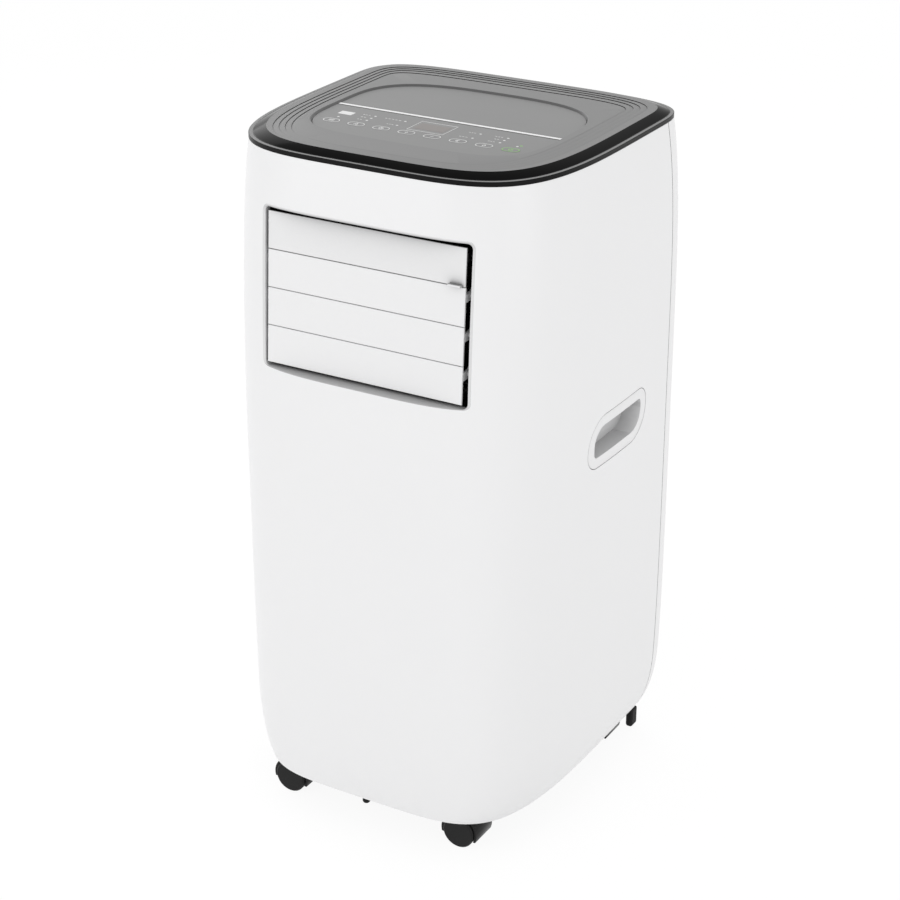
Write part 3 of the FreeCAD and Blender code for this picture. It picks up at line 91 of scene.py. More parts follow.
# %% [markdown]
# ## The studio
# White goods are photographed in a white tent: light comes from nearly everywhere, so shadows are faint
# and the form shows only in gentle steps of grey. Here the world is the tent. What the camera and the
# reflections see is pure white, while the light that reaches matt surfaces is a little weaker. That
# leaves room for three large soft lamps: one shapes the front, one the side, and one stands behind at the
# left, where its reflection lifts the far part of the lid's flat top.

# %% The tent and the lamps
TENT_LIGHT = 0.78
BODY_MIDDLE = (0, 0, 0.35)
LID_LEFT = (-0.1, 0, 0.69)


def either(nodes, links, first, second):
    """The larger of two outputs, which is 1 where either test of a ray is true."""
    larger = nodes.new("ShaderNodeMath")
    larger.operation = "MAXIMUM"
    links.new(first, larger.inputs[0])
    links.new(second, larger.inputs[1])
    return larger.outputs[0]


def spread(nodes, links, value, low, high):
    """An output from 0 to 1, laid out from low to high."""
    span = nodes.new("ShaderNodeMapRange")
    span.inputs["To Min"].default_value = low
    span.inputs["To Max"].default_value = high
    links.new(value, span.inputs["Value"])
    return span.outputs["Result"]


def make_world():
    world = bpy.data.worlds.new("white_tent")
    scene.world = world
    world.use_nodes = True
    nodes, links = world.node_tree.nodes, world.node_tree.links
    background = nodes["Background"]
    paths = nodes.new("ShaderNodeLightPath")
    seen = either(nodes, links, paths.outputs["Is Camera Ray"], paths.outputs["Is Glossy Ray"])
    seen = either(nodes, links, seen, paths.outputs["Is Transmission Ray"])
    links.new(spread(nodes, links, seen, TENT_LIGHT, 1.0), background.inputs["Strength"])
    background.inputs["Color"].default_value = (1, 1, 1, 1)


def soft_lamp(name, place, aim, size, watts):
    """A square lamp that faces a point."""
    lamp = bpy.data.lights.new(name, "AREA")
    lamp.size = size
    lamp.energy = watts
    holder = bpy.data.objects.new(name, lamp)
    holder.location = place
    holder.rotation_euler = (Vector(aim) - Vector(place)).to_track_quat("-Z", "Y").to_euler()
    scene.collection.objects.link(holder)


make_world()
soft_lamp("front_lamp", (-1.5, -2.6, 1.0), BODY_MIDDLE, size=2.2, watts=17)
soft_lamp("side_lamp", (2.6, -0.9, 0.9), BODY_MIDDLE, size=2.0, watts=12)
soft_lamp("rim_lamp", (-1.9, 1.15, 1.75), LID_LEFT, size=1.4, watts=9)
print("tent at", TENT_LIGHT, "with three lamps")

# %% [markdown]
# ## The floor
# The floor is a pale sheet under the wheels. Most of what the camera sees of it is plain white, and the
# rest is a matt surface, so the machine still drops a faint shadow and stands on something.

# %% The floor
FLOOR_SHADOW = 0.10
FLOOR_WHITE = 1.03  # a little above white, so that only the real shadow shows as grey
FLOOR_HALF = 6
FLOOR_LEVEL = -0.0002  # a hair under the wheels


def make_floor():
    mesh = bpy.data.meshes.new("floor")
    corners = [(FLOOR_HALF * x, FLOOR_HALF * y, 0) for x, y in ((-1, -1), (1, -1), (1, 1), (-1, 1))]
    mesh.from_pydata(corners, [], [(0, 1, 2, 3)])
    floor = bpy.data.objects.new("floor", mesh)
    scene.collection.objects.link(floor)
    floor.location.z = FLOOR_LEVEL
    material = bpy.data.materials.new("floor_sheet")
    material.use_nodes = True
    nodes, links = material.node_tree.nodes, material.node_tree.links
    nodes.clear()
    matt = nodes.new("ShaderNodeBsdfDiffuse")
    matt.inputs["Color"].default_value = (0.9, 0.9, 0.9, 1)
    white = nodes.new("ShaderNodeEmission")
    white.inputs["Strength"].default_value = FLOOR_WHITE
    paths = nodes.new("ShaderNodeLightPath")
    share = nodes.new("ShaderNodeMath")
    share.operation = "MULTIPLY"
    share.inputs[1].default_value = 1 - FLOOR_SHADOW
    seen = either(nodes, links, paths.outputs["Is Camera Ray"], paths.outputs["Is Glossy Ray"])
    links.new(seen, share.inputs[0])
    mix = nodes.new("ShaderNodeMixShader")
    links.new(share.outputs[0], mix.inputs["Fac"])
    links.new(matt.outputs[0], mix.inputs[1])
    links.new(white.outputs[0], mix.inputs[2])
    output = nodes.new("ShaderNodeOutputMaterial")
    links.new(mix.outputs[0], output.inputs["Surface"])
    mesh.materials.append(material)


make_floor()
print("floor of", 2 * FLOOR_HALF, "metres a side")

# %% [markdown]
# ## Finishes
# Nearly all of this machine is moulded plastic. Moulded plastic is never one flat value: the tool leaves
# a fine texture, the gloss drifts a little across a panel, and the colour has a faint cloudiness. One
# helper makes all of them from two noise patterns: a slow one for gloss and tone, and a fine one for the
# texture that the mould leaves, as a bump.
#
# Some places are darker than this soft light alone makes them: the slats under the top of their opening,
# the hollows of the handles, and the opening's rolled edge. That extra darkness is painted shade in their
# colour. An ambient occlusion node paints it on the slats and handles where other surfaces stand close by.
# The rolled edge is made in this lesson, so it keeps a painted tone at every point, and its finish reads
# that value.

# %% A helper for moulded finishes
CLOUD_SCALE = 14.0
GLOSS_DRIFT = 0.03
GRAIN_HEIGHT = 0.0002


def shade_source(nodes, links, shade):
    """The output that paints shade into a finish's colour, in one of the two ways that a painted shade can
    be given.
    """
    if shade == "kept":
        kept = nodes.new("ShaderNodeAttribute")
        kept.attribute_name = "shade"
        return kept.outputs["Fac"]
    distance, darkest = shade
    hollow = nodes.new("ShaderNodeAmbientOcclusion")
    hollow.inputs["Distance"].default_value = distance
    return spread(nodes, links, hollow.outputs["AO"], darkest, 1.0)


def noise(nodes, links, place, scale, detail):
    pattern = nodes.new("ShaderNodeTexNoise")
    pattern.inputs["Scale"].default_value = scale
    pattern.inputs["Detail"].default_value = detail
    links.new(place.outputs["Object"], pattern.inputs["Vector"])
    return pattern.outputs["Fac"]


def moulded(
    name, colour, roughness, grain=900.0, depth=0.04, drift=0.02, metallic=0.0, specular=0.5, shade=None
):
    """A material with a tone and gloss that drift slowly, and a fine grain as a bump.

    The shade is painted shade in the base colour: None, "kept" for the value that the mesh keeps at every
    point under the name shade, or (distance, tone): the tone is 1 in the open and falls to the given one
    where other surfaces stand all round within that distance. A tone below zero only makes the fall
    steeper.
    """
    material = bpy.data.materials.new(name)
    material.use_nodes = True
    nodes, links = material.node_tree.nodes, material.node_tree.links
    shader = nodes["Principled BSDF"]
    shader.inputs["Metallic"].default_value = metallic
    shader.inputs["Specular IOR Level"].default_value = specular
    place = nodes.new("ShaderNodeTexCoord")
    slow = noise(nodes, links, place, CLOUD_SCALE, 3.0)
    tone = spread(nodes, links, slow, 1 - drift, 1 + drift)
    tint = nodes.new("ShaderNodeVectorMath")
    tint.operation = "SCALE"
    tint.inputs[0].default_value = colour
    if shade:
        both = nodes.new("ShaderNodeMath")
        both.operation = "MULTIPLY"
        links.new(tone, both.inputs[0])
        links.new(shade_source(nodes, links, shade), both.inputs[1])
        tone = both.outputs[0]
    links.new(tone, tint.inputs["Scale"])
    links.new(tint.outputs["Vector"], shader.inputs["Base Color"])
    gloss = spread(nodes, links, slow, roughness - GLOSS_DRIFT, roughness + GLOSS_DRIFT)
    links.new(gloss, shader.inputs["Roughness"])
    bump = nodes.new("ShaderNodeBump")
    bump.inputs["Strength"].default_value = depth
    bump.inputs["Distance"].default_value = GRAIN_HEIGHT
    links.new(noise(nodes, links, place, grain, 2.0), bump.inputs["Height"])
    links.new(bump.outputs["Normal"], shader.inputs["Normal"])
    return material


# %% The finishes of the machine
def grey(level):
    return level, level, level


SHELL_WHITE = (0.87, 0.87, 0.875)
LID_GRAIN = 1400.0

FINISH = {
    "casing": moulded("casing_white", SHELL_WHITE, 0.32, depth=0.015, drift=0.004),
    # The rolled edge's finish reads the painted shade kept on its mesh.
    "lip": moulded("lip_white_painted_shade", SHELL_WHITE, 0.32, depth=0.015, drift=0.004, shade="kept"),
    "screws": moulded("screw_plate", (0.62, 0.62, 0.64), 0.25, metallic=1.0),
    # The grip's finish carries painted shade: an occlusion node darkens its colour in the hollow.
    "handle": moulded(
        "grip_white_painted_shade", (0.86, 0.86, 0.865), 0.42, depth=0.03, drift=0.005, shade=(0.05, 0.42)
    ),
    "base": moulded("base_black", grey(0.01), 0.55, depth=0.1, specular=0.25),
    "caster_hood": moulded("hood_black", grey(0.006), 0.3, depth=0.03, specular=0.2),
    "caster_wheel": moulded("wheel_black", grey(0.009), 0.45, depth=0.06, specular=0.2),
    "lid": moulded("lid_black", grey(0.004), 0.32, grain=LID_GRAIN, depth=0.02, specular=0.12),
    "lid_slope": moulded("lid_slope", grey(0.003), 0.12, grain=LID_GRAIN, depth=0.01, specular=0.03),
    # The lid is black plastic: the greys of its recess wall and of its flat top are painted reflection of
    # the tent.
    "lid_wall_painted_reflection": moulded("lid_wall_painted_reflection", grey(0.11), 0.35, grain=LID_GRAIN, depth=0.02, specular=0.4),
    "lid_top_painted_reflection": moulded(
        "lid_painted_reflection", grey(0.25), 0.5, grain=LID_GRAIN, depth=0.03, drift=0.01, specular=0.3
    ),
    # The panel film, keys, display film and screen are dark: their greys are painted reflection, as on the
    # lid's top.
    "panel": moulded("panel_film_painted_reflection", grey(0.26), 0.45, depth=0.01, drift=0.008, specular=0.3),
    "keys": moulded("key_rubber_painted_reflection", grey(0.255), 0.5, depth=0.02, specular=0.3),
    "lenses": moulded("lens_frost", grey(0.82), 0.4),
    "display": moulded("display_film_painted_reflection", grey(0.26), 0.4, depth=0.005, specular=0.3),
    "screen": moulded("screen_smoke_painted_reflection", (0.235, 0.215, 0.205), 0.35, depth=0.005, specular=0.3),
    "print_white": moulded("print_white", grey(0.97), 0.5),
    "print_grey": moulded("print_grey", grey(0.82), 0.5),
    "print_green": moulded("print_green", (0.28, 0.62, 0.16), 0.5),
    # The seam's dark finish is painted shade: a strip standing for the shadow in the gap.
    "seal": moulded("seam_painted_shade", grey(0.05), 0.6, specular=0.2),
    # Painted shadow: the dark sheet along the strip's front edge stands for the strip's shadow line.
    "shadow_line": moulded("painted_shadow_line", grey(0.03), 0.6, specular=0.1),
    "receiver": moulded("receiver_white", grey(0.86), 0.3),
    "strip": moulded("strip_white", grey(0.86), 0.4),
    # The slats carry painted shade: an occlusion node darkens their colour where other surfaces stand
    # close.
    "slats": moulded(
        "slat_white_painted_shade", (0.85, 0.85, 0.855), 0.36, depth=0.015, drift=0.004, shade=(0.03, 0.7)
    ),
    # The uppermost slat is painted darker still, as the shadow that the opening's top edge casts on it.
    "first_slat_painted_shade": moulded(
        "slat_painted_shade_under_lip", (0.82, 0.82, 0.825), 0.36, depth=0.015, drift=0.004, shade=(0.045, -0.4)
    ),
    "link": moulded("link_white", grey(0.8), 0.45),
    "louvre_frame": moulded("duct_black", grey(0.01), 0.6),
    "guard": moulded("guard_black", grey(0.015), 0.5),
    "grille": moulded("grille_white", (0.84, 0.84, 0.845), 0.38, depth=0.02, drift=0.005),
    "filter": moulded("filter_mesh", (0.06, 0.07, 0.085), 0.7, grain=600.0, depth=0.5),
    "collar": moulded("collar_white", (0.78, 0.78, 0.785), 0.42),
    "plug": moulded("plug_rubber", grey(0.02), 0.7, depth=0.15),
    "bush": moulded("bush_rubber", grey(0.02), 0.7, depth=0.15),
    "tray": moulded("tray_grey", (0.3, 0.31, 0.33), 0.55),
    "coil": moulded("fin_aluminium", (0.7, 0.71, 0.73), 0.35, metallic=1.0, grain=2000.0, depth=0.4),
    "housing": moulded("housing_black", grey(0.02), 0.5),
    "blower": moulded("blower_black", grey(0.018), 0.45),
    "motor": moulded("motor_grey", (0.25, 0.26, 0.27), 0.4, metallic=0.7),
    "compressor": moulded("compressor_enamel", grey(0.012), 0.25),
    "copper": moulded("copper_tube", (0.75, 0.36, 0.22), 0.3, metallic=1.0),
    "electrical": moulded("plated_case", (0.5, 0.5, 0.52), 0.35, metallic=1.0),
    "bumpers": moulded("bumper_rubber", grey(0.008), 0.6, depth=0.1, specular=0.2),
}
print(len(FINISH), "finishes")

# %% [markdown]
# ## The small pieces
# The imported pieces have true sizes but knife-sharp edges, and a knife-sharp edge catches no light. A
# weld joins their split corners, and a narrow bevel then rounds each sharp edge, which is what a mould
# does to plastic anyway. Each piece takes the finish of its slot. Only the uppermost slat has one of
# its own, darker and with more painted shade, because it lies deepest in the shade of the opening's top
# edge.

# %% Finish and soften each imported piece
EDGE = 0.0004
WELD_REACH = 0.00001
SHARP = math.radians(40)  # edges that turn by less than this stay as they are


def soften(item, width):
    weld = item.modifiers.new("weld", "WELD")
    weld.merge_threshold = WELD_REACH
    bevel = item.modifiers.new("soft_edges", "BEVEL")
    bevel.width = width
    bevel.segments = 2
    bevel.limit_method = "ANGLE"
    bevel.angle_limit = SHARP
    bevel.harden_normals = True


def finish_nodes():
    slots = {entry["node"]: entry["material_slot"] for entry in frame["record"]["subparts"]}
    for node, item in NODES.items():
        item.data.materials.clear()
        # the uppermost slat takes the finish with the stronger painted shade
        item.data.materials.append(FINISH["first_slat_painted_shade" if node == "louvre_slat_1" else slots[node]])
        soften(item, EDGE)
    return len(slots)


print(finish_nodes(), "pieces finished")

# %% [markdown]
# ## The casing's form
# The casing is a soft square in plan: a superellipse in two halves, a long one to the front and a short
# one to the rear, that meet where the body is widest. Going down from the lid it swells to a belly and
# then tucks in above the floor. One function gives the four numbers of that outline at any height, so
# the front, the back, the dark strips of painted shade in the seam and the rim of the lid all follow one
# surface.

# %% Outline of the casing at a height
lid_low, lid_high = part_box("lid_cover")
front_low, front_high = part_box("front_casing")
rear_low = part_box("rear_casing")[0]
SEAT = front_high[2]
SKIRT = front_low[2]
WIDEST = 0.0898  # how far back the widest place of the plan lies
BELLY = 0.400
FOOT = 0.396  # how far below the belly the lower form ends
TUCK_START = 0.117
SIDE_TUCK = 0.027
SMALL_TUCK = 0.0005  # how far the front and the rear curve in at the skirt
FOOT_DROP = 0.0005
TUCK_ROOM = 0.002  # the tuck's curve would end this far below the skirt
LID_CORNER = 4.4  # the power of the superellipse: a larger one has squarer corners
BELLY_CORNER = 4.1
TUCK_CORNER = 0.55  # what the tuck adds to it
SIDE_POWER = 5
FRONT_POWER = 1.82
BELLY_FRONT = WIDEST - 0.261
BELLY_REAR = WIDEST + 0.0814
SIDE_BULGE, FRONT_BULGE, REAR_BULGE = 0.0105, 0.0154, 0.0031
LID_HALF = lid_high[0]


def reach(height):
    """Half width, front, rear and corner fullness of the casing at a height."""
    rise = abs(height - BELLY) / (SEAT - BELLY if height > BELLY else FOOT)
    side = 1 - rise ** SIDE_POWER
    inward = 0.0
    if height < TUCK_START:
        inward = 1 - math.sqrt(1 - ((TUCK_START - height) / (TUCK_START - SKIRT + TUCK_ROOM)) ** 2)
    half = LID_HALF + SIDE_BULGE * side - SIDE_TUCK * inward
    drop = (FRONT_BULGE if height > BELLY else FOOT_DROP) * rise ** FRONT_POWER
    front = BELLY_FRONT + drop + SMALL_TUCK * inward
    rear = BELLY_REAR - REAR_BULGE * (1 - side) - SMALL_TUCK * inward
    corner = LID_CORNER + (BELLY_CORNER - LID_CORNER) * side + TUCK_CORNER * inward
    return half, front, rear, corner


def skin_front(x, height):
    """How far forward the front skin stands, this far across and at this height."""
    half, front, rear, corner = reach(height)
    return WIDEST - (WIDEST - front) * (1 - abs(x / half) ** corner) ** (1 / corner)


def form(x, y, z):
    """Exactly 1 on the casing's surface, less inside it and more outside."""
    half, front, rear, corner = reach(z)
    depth = rear - WIDEST if y > WIDEST else WIDEST - front
    return abs(x / half) ** corner + abs((y - WIDEST) / depth) ** corner


def skin_normal(x, y, z):
    """The direction that the casing's surface faces at a point on it."""
    step = 0.0003
    low, high = max(z - step, SKIRT), min(z + step, SEAT)
    return Vector((
        (form(x + step, y, z) - form(x - step, y, z)) / (2 * step),
        (form(x, y + step, z) - form(x, y - step, z)) / (2 * step),
        (form(x, y, high) - form(x, y, low)) / (high - low),
    )).normalized()


print("belly reaches", [round(v, 4) for v in reach(BELLY)])

# %% [markdown]
# ## Building the shell
# The shell is a ring of quads, an outer and an inner skin joined at the top and the bottom. The opening
# for the louvre, the handle cut-outs and the seam are then cut with exact booleans, as they would be
# machined from one shell. Cutting leaves odd-shaped faces at the edges, and those would shade as dents,
# so the corner normals of the outer skin are set from the form itself afterwards.

# %% Mesh helpers
AROUND = 288  # points round every closed outline of the shell and the lid
WALL = 0.0028


def soft_square(half, front, rear, corner):
    """Points of a plan outline of the casing, anticlockwise from the right."""
    points = []
    for step in range(AROUND):
        angle = 2 * math.pi * step / AROUND
        across, along = math.cos(angle), math.sin(angle)
        depth = rear - WIDEST if along > 0 else WIDEST - front
        scale = (abs(across / half) ** corner + abs(along / depth) ** corner) ** (-1 / corner)
        points.append((across * scale, WIDEST + along * scale))
    return points


def new_object(name, vertices, faces):
    mesh = bpy.data.meshes.new(name)
    mesh.from_pydata([tuple(v) for v in vertices], [], faces)
    mesh.validate()
    item = bpy.data.objects.new(name, mesh)
    scene.collection.objects.link(item)
    return item


def strip_faces(rows, count):
    """Quads between rows of points that each close on themselves."""
    faces = []
    for row in range(rows - 1):
        for step in range(count):
            following = (step + 1) % count
            faces.append((
                row * count + step, row * count + following,
                (row + 1) * count + following, (row + 1) * count + step,
            ))
    return faces


def face_outwards(item, close=False):
    """Turns every face outwards, after closing the open ends where asked."""
    work = bmesh.new()
    work.from_mesh(item.data)
    if close:
        bmesh.ops.holes_fill(work, edges=[edge for edge in work.edges if edge.is_boundary], sides=0)
    bmesh.ops.recalc_face_normals(work, faces=work.faces)
    work.to_mesh(item.data)
    work.free()


def prism(name, points, near, far, to_world):
    """A closed block from an outline: (across, up) points, between two depths."""
    count = len(points)
    vertices = [to_world @ Vector((x, depth, z)) for depth in (near, far) for x, z in points]
    faces = [tuple(range(count)), tuple(reversed(range(count, 2 * count)))]
    for step in range(count):
        following = (step + 1) % count
        faces.append((step, step + count, following + count, following))
    item = new_object(name, vertices, faces)
    face_outwards(item)
    return item


def carve(item, cutters, operation="DIFFERENCE"):
    """Cuts every cutter from the item, or joins it on, and removes the cutters."""
    for cutter in cutters:
        modifier = item.modifiers.new("cut", "BOOLEAN")
        modifier.operation = operation
        modifier.solver = "EXACT"
        modifier.object = cutter
    graph = bpy.context.evaluated_depsgraph_get()
    applied = bpy.data.meshes.new_from_object(item.evaluated_get(graph))
    item.modifiers.clear()
    item.data = applied
    for cutter in cutters:
        bpy.data.objects.remove(cutter)


def round_corners(corners, radius, steps=8):
    """A closed outline whose square corners turn with arcs, of one radius or of one for each corner."""
    points = []
    count = len(corners)
    for index, corner in enumerate(corners):
        here = Vector(corner)
        before = (Vector(corners[index - 1]) - here).normalized()
        after = (Vector(corners[(index + 1) % count]) - here).normalized()
        turn = radius[index] if isinstance(radius, tuple) else radius
        centre = here + (before + after) * turn
        for step in range(steps + 1):
            angle = math.pi / 2 * step / steps
            spoke = after * turn * math.cos(angle)
            points.append(tuple(centre - spoke - before * turn * math.sin(angle)))
    return points


# %% Shell of the casing
TUCK_ROWS = 12
TUCK_CROWDING = 1.6  # above 1, the rows crowd towards the skirt, where the tuck is tightest
BODY_ROWS = 44
SKIN_MATCH = 0.004  # how far the form may be from 1 at a point that counts as on the skin
SKIN_FACING = 0.9
CREASE = math.radians(35)


def shell_levels():
    """Heights of the shell's rows, from the skirt to the seat of the lid."""
    low = [
        SKIRT + (TUCK_START - SKIRT) * (step / TUCK_ROWS) ** TUCK_CROWDING for step in range(TUCK_ROWS)
    ]
    return low + [
        TUCK_START + (SEAT - TUCK_START) * step / BODY_ROWS for step in range(BODY_ROWS + 1)
    ]


def make_shell(name):
    """The outer skin going up and the inner skin coming down again, closed at the skirt."""
    levels = shell_levels()
    rows = []
    for inset, heights in ((0.0, levels), (WALL, reversed(levels))):
        for height in heights:
            half, front, rear, corner = reach(height)
            ring = soft_square(half - inset, front + inset, rear - inset, corner)
            rows.append([(x, y, height) for x, y in ring])
    vertices = [point for row in rows for point in row]
    faces = strip_faces(len(rows), AROUND)
    last = (len(rows) - 1) * AROUND
    for step in range(AROUND):
        following = (step + 1) % AROUND
        faces.append((last + step, last + following, following, step))
    return new_object(name, vertices, faces)


def true_normals(item):
    """Faces of the outer skin get the form's own normals; other faces keep theirs, with crisp edges."""
    mesh = item.data
    mesh.shade_smooth()
    mesh.set_sharp_from_angle(angle=CREASE)
    normals = [Vector(corner.vector) for corner in mesh.corner_normals]
    cache = {}
    for face in mesh.polygons:
        points = [mesh.vertices[index].co for index in face.vertices]
        on_skin = True
        for index, point in zip(face.vertices, points):
            if index not in cache:
                near = abs(form(point.x, point.y, min(max(point.z, SKIRT), SEAT)) - 1) < SKIN_MATCH
                cache[index] = skin_normal(*point) if near else None
            on_skin = on_skin and cache[index] is not None
        if on_skin and face.normal.dot(cache[face.vertices[0]]) > SKIN_FACING:
            for loop in face.loop_indices:
                normals[loop] = cache[mesh.loops[loop].vertex_index]
    mesh.normals_split_custom_set(normals)


# %% [markdown]
# ## The opening for the louvre
# The opening lies in the plane of the closed slats, which leans back a little with the front. Its edge is
# not sharp: the panel rolls inwards, over three millimetres at the top and the sides and less than one at
# the bottom. Because the panel is bowed and the slats are flat, the edge is deep in the middle and
# shallow at the sides, and the lower wall falls a little as it comes forward. The roll is a small curve
# drawn from the wall to the skin at every point of the outline. Each point also keeps a tone of painted
# shade, which is darkest on the wall above the slats and comes on top of the shade that the light makes.
# The roll at the top runs from that tone to the panel's own white, while the sides and the bottom each
# keep one tone throughout.

# %% Louvre plane
TILT = math.radians(3.8)
LOUVRE_HEIGHT = 0.5595
RECESS = 0.0095
SLAT_HALF = 0.1048
SLAT_ROOM = 0.0041  # beyond each end of the slats, before the shift
OPENING_HALF = SLAT_HALF + SLAT_ROOM
OPENING_SHIFT = 0.0017  # more room at the right, where the link bar runs
OPENING_TOP = 0.0773
OPENING_BOTTOM = -0.0766
OPENING_CORNER = 0.005
OUTLINE_STEP = 0.008  # a straight stretch has a point about this often
ROLL_STEPS = 8
ROLL_OUT = 0.003  # how far the roll reaches over the panel
LOW_ROLL_OUT = 0.0007  # the lower lip ends more sharply
ROLL_IN = 0.0015  # how deep its inner edge lies below the skin
LIP_SLOPE = 0.22  # how far the lower wall falls for each metre that it comes forward
WALL_BACK = 0.0066  # how far the wall reaches behind the plane of the slats
MOUTH_DEPTH = 0.003  # the wall above the slats is short: their top edge swings up behind it
# Painted shade: the darker tone painted on each wall of the opening.
SIDE_SHADE, LOW_SHADE, HIGH_SHADE = 0.82, 0.5, 0.2  # the tone that each wall keeps
LOUVRE = (
    Matrix.Translation((0, skin_front(0, LOUVRE_HEIGHT) + RECESS, LOUVRE_HEIGHT))
    @ Matrix.Rotation(-TILT, 4, "X")
)
LOUVRE_BACK = LOUVRE.inverted()


def skin_depth(x, z):
    """Louvre depth of the skin in front of a place in the louvre plane, which a few turns settle."""
    depth = -RECESS
    for _ in range(4):
        place = LOUVRE @ Vector((x, depth, z))
        place.y = skin_front(place.x, place.z)
        depth = (LOUVRE_BACK @ place).y
    return depth


def opening_outline():
    """Points and outward directions round the opening."""
    corners = [
        (OPENING_SHIFT - OPENING_HALF, OPENING_BOTTOM), (OPENING_SHIFT + OPENING_HALF, OPENING_BOTTOM),
        (OPENING_SHIFT + OPENING_HALF, OPENING_TOP), (OPENING_SHIFT - OPENING_HALF, OPENING_TOP),
    ]
    arcs = round_corners(corners, OPENING_CORNER)
    points = []
    for index, point in enumerate(arcs):
        points.append(point)
        following = arcs[(index + 1) % len(arcs)]
        parts = int((Vector(following) - Vector(point)).length / OUTLINE_STEP)
        for step in range(1, parts):
            points.append(tuple(Vector(point).lerp(Vector(following), step / parts)))
    result = []
    count = len(points)
    for index, point in enumerate(points):
        along = Vector(points[(index + 1) % count]) - Vector(points[index - 1])
        outward = Vector((along.y, -along.x)).normalized()
        result.append((Vector(point), outward))
    return result


def make_roll():
    """The opening's wall and rolled edge: points, faces, painted shade of every point, and the outer
    outline.
    """
    rows, shades, edge = [], [], []
    for point, outward in opening_outline():
        low = max(0.0, -outward.y) ** 2
        high = max(0.0, outward.y) ** 2
        slope = LIP_SLOPE * low
        at_skin = point
        for _ in range(3):
            depth = skin_depth(at_skin.x, at_skin.y)
            at_skin = point + outward * slope * -depth
        beyond = at_skin + outward * (ROLL_OUT + (LOW_ROLL_OUT - ROLL_OUT) * low)
        start_depth = depth + ROLL_IN
        start = point + outward * slope * max(0.0, -start_depth)
        inner = Vector((start.x, start_depth, start.y))
        middle = Vector((at_skin.x, depth, at_skin.y))
        outer = Vector((beyond.x, skin_depth(beyond.x, beyond.y), beyond.y))
        edge.append((beyond.x, beyond.y))
        back = WALL_BACK + (MOUTH_DEPTH - WALL_BACK) * high
        column = [Vector((point.x, back, point.y)), Vector((point.x, max(start_depth, 0.0), point.y))]
        # each point's painted shade: darkest on the wall above the slats, lightest at the sides
        tone = SIDE_SHADE + (LOW_SHADE - SIDE_SHADE) * low + (HIGH_SHADE - SIDE_SHADE) * high
        shade = [tone, tone]
        for step in range(ROLL_STEPS + 1):
            share = step / ROLL_STEPS
            column.append(inner * (1 - share) ** 2 + middle * 2 * share * (1 - share) + outer * share ** 2)
            shade.append(tone + (1 - tone) * share * high)
        rows.append([LOUVRE @ place for place in column])
        shades.append(shade)
    count = len(rows)
    height = len(rows[0])
    vertices = [rows[index][level] for level in range(height) for index in range(count)]
    kept = [shades[index][level] for level in range(height) for index in range(count)]
    return vertices, strip_faces(height, count), kept, edge


roll_vertices, roll_faces, roll_shades, roll_edge = make_roll()
print("opening outline has", len(roll_edge), "points")

# %% [markdown]
# ## Cutting the front
# A hand grip sits in each side, in a hollow shaped like a leaf. The front half of the shell ends at the
# seam, and both hollows and the louvre's opening go through it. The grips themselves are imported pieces
# and stay as they are. The rolled edge is a mesh of its own, laid into the opening that it was drawn for.

# %% Handle outline
HANDLE_HEIGHT = 0.4157
HANDLE_LENGTH = 0.116
HANDLE_WIDTH = 0.051
HANDLE_TIGHT = 0.016
HANDLE_LARGE = 0.033
LEAF_STEPS = 14
handle_low, handle_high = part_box("side_handle_right")
HANDLE_Y = (handle_low[1] + handle_high[1]) / 2


def leaf(gap):
    """A grip's outline, larger by a gap. It turns tightly low at the front and high at the rear."""
    half, tall = (HANDLE_LENGTH + gap) / 2, (HANDLE_WIDTH + gap) / 2
    tight, large = HANDLE_TIGHT + gap / 2, HANDLE_LARGE + gap / 2
    corners = [
        (HANDLE_Y - half, HANDLE_HEIGHT - tall), (HANDLE_Y + half, HANDLE_HEIGHT - tall),
        (HANDLE_Y + half, HANDLE_HEIGHT + tall), (HANDLE_Y - half, HANDLE_HEIGHT + tall),
    ]
    return round_corners(corners, (tight, large, tight, large), LEAF_STEPS)


print("handles stand at", round(HANDLE_Y, 4), HANDLE_HEIGHT)

# %% Front casing
SEAM = rear_low[1]
SEAM_GAP = 0.0009
OPENING_CUT = (-0.04, 0.03)  # from before the panel to behind the slats
HANDLE_CUT = (0.12, 0.22)  # from inside the shell to outside it
LIP_CREASE = math.radians(50)
UPRIGHT = Matrix.Identity(4)
ACROSS = Matrix(((0, 1, 0, 0), (1, 0, 0, 0), (0, 0, 1, 0), (0, 0, 0, 1)))


def wide_block(name, low, high, radius=0.0):
    """A block through the casing from front to rear, with its long edges rounded where asked."""
    points = [(low[0], low[2]), (high[0], low[2]), (high[0], high[2]), (low[0], high[2])]
    if radius:
        points = round_corners(points, radius)
    return prism(name, points, low[1], high[1], UPRIGHT)


def settle(casing, node):
    """Normals, finish and body of a casing half."""
    true_normals(casing)
    casing.data.materials.clear()
    casing.data.materials.append(FINISH["casing"])
    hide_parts(node)
    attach(casing, "cabinet")


def make_front():
    casing = make_shell("casing_front")
    opening = prism("opening_cutter", roll_edge, *OPENING_CUT, LOUVRE)
    behind = wide_block("behind_seam", (-1, SEAM - SEAM_GAP / 2, 0), (1, 1, 1))
    near, far = HANDLE_CUT
    hollow = leaf(SEAM_GAP)
    sides = [prism("side_cutter", hollow, near * side, far * side, ACROSS) for side in (-1, 1)]
    carve(casing, [behind, opening] + sides)
    settle(casing, "front_casing")
    lip = new_object("louvre_surround", roll_vertices, roll_faces)
    lip.data.shade_smooth()
    lip.data.set_sharp_from_angle(angle=LIP_CREASE)
    # the painted shade of every point goes on the mesh under the name shade
    lip.data.attributes.new("shade", "FLOAT", "POINT").data.foreach_set("value", roll_shades)
    lip.data.materials.append(FINISH["lip"])
    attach(lip, "cabinet")
    return len(casing.data.polygons)


print("front casing has", make_front(), "faces")

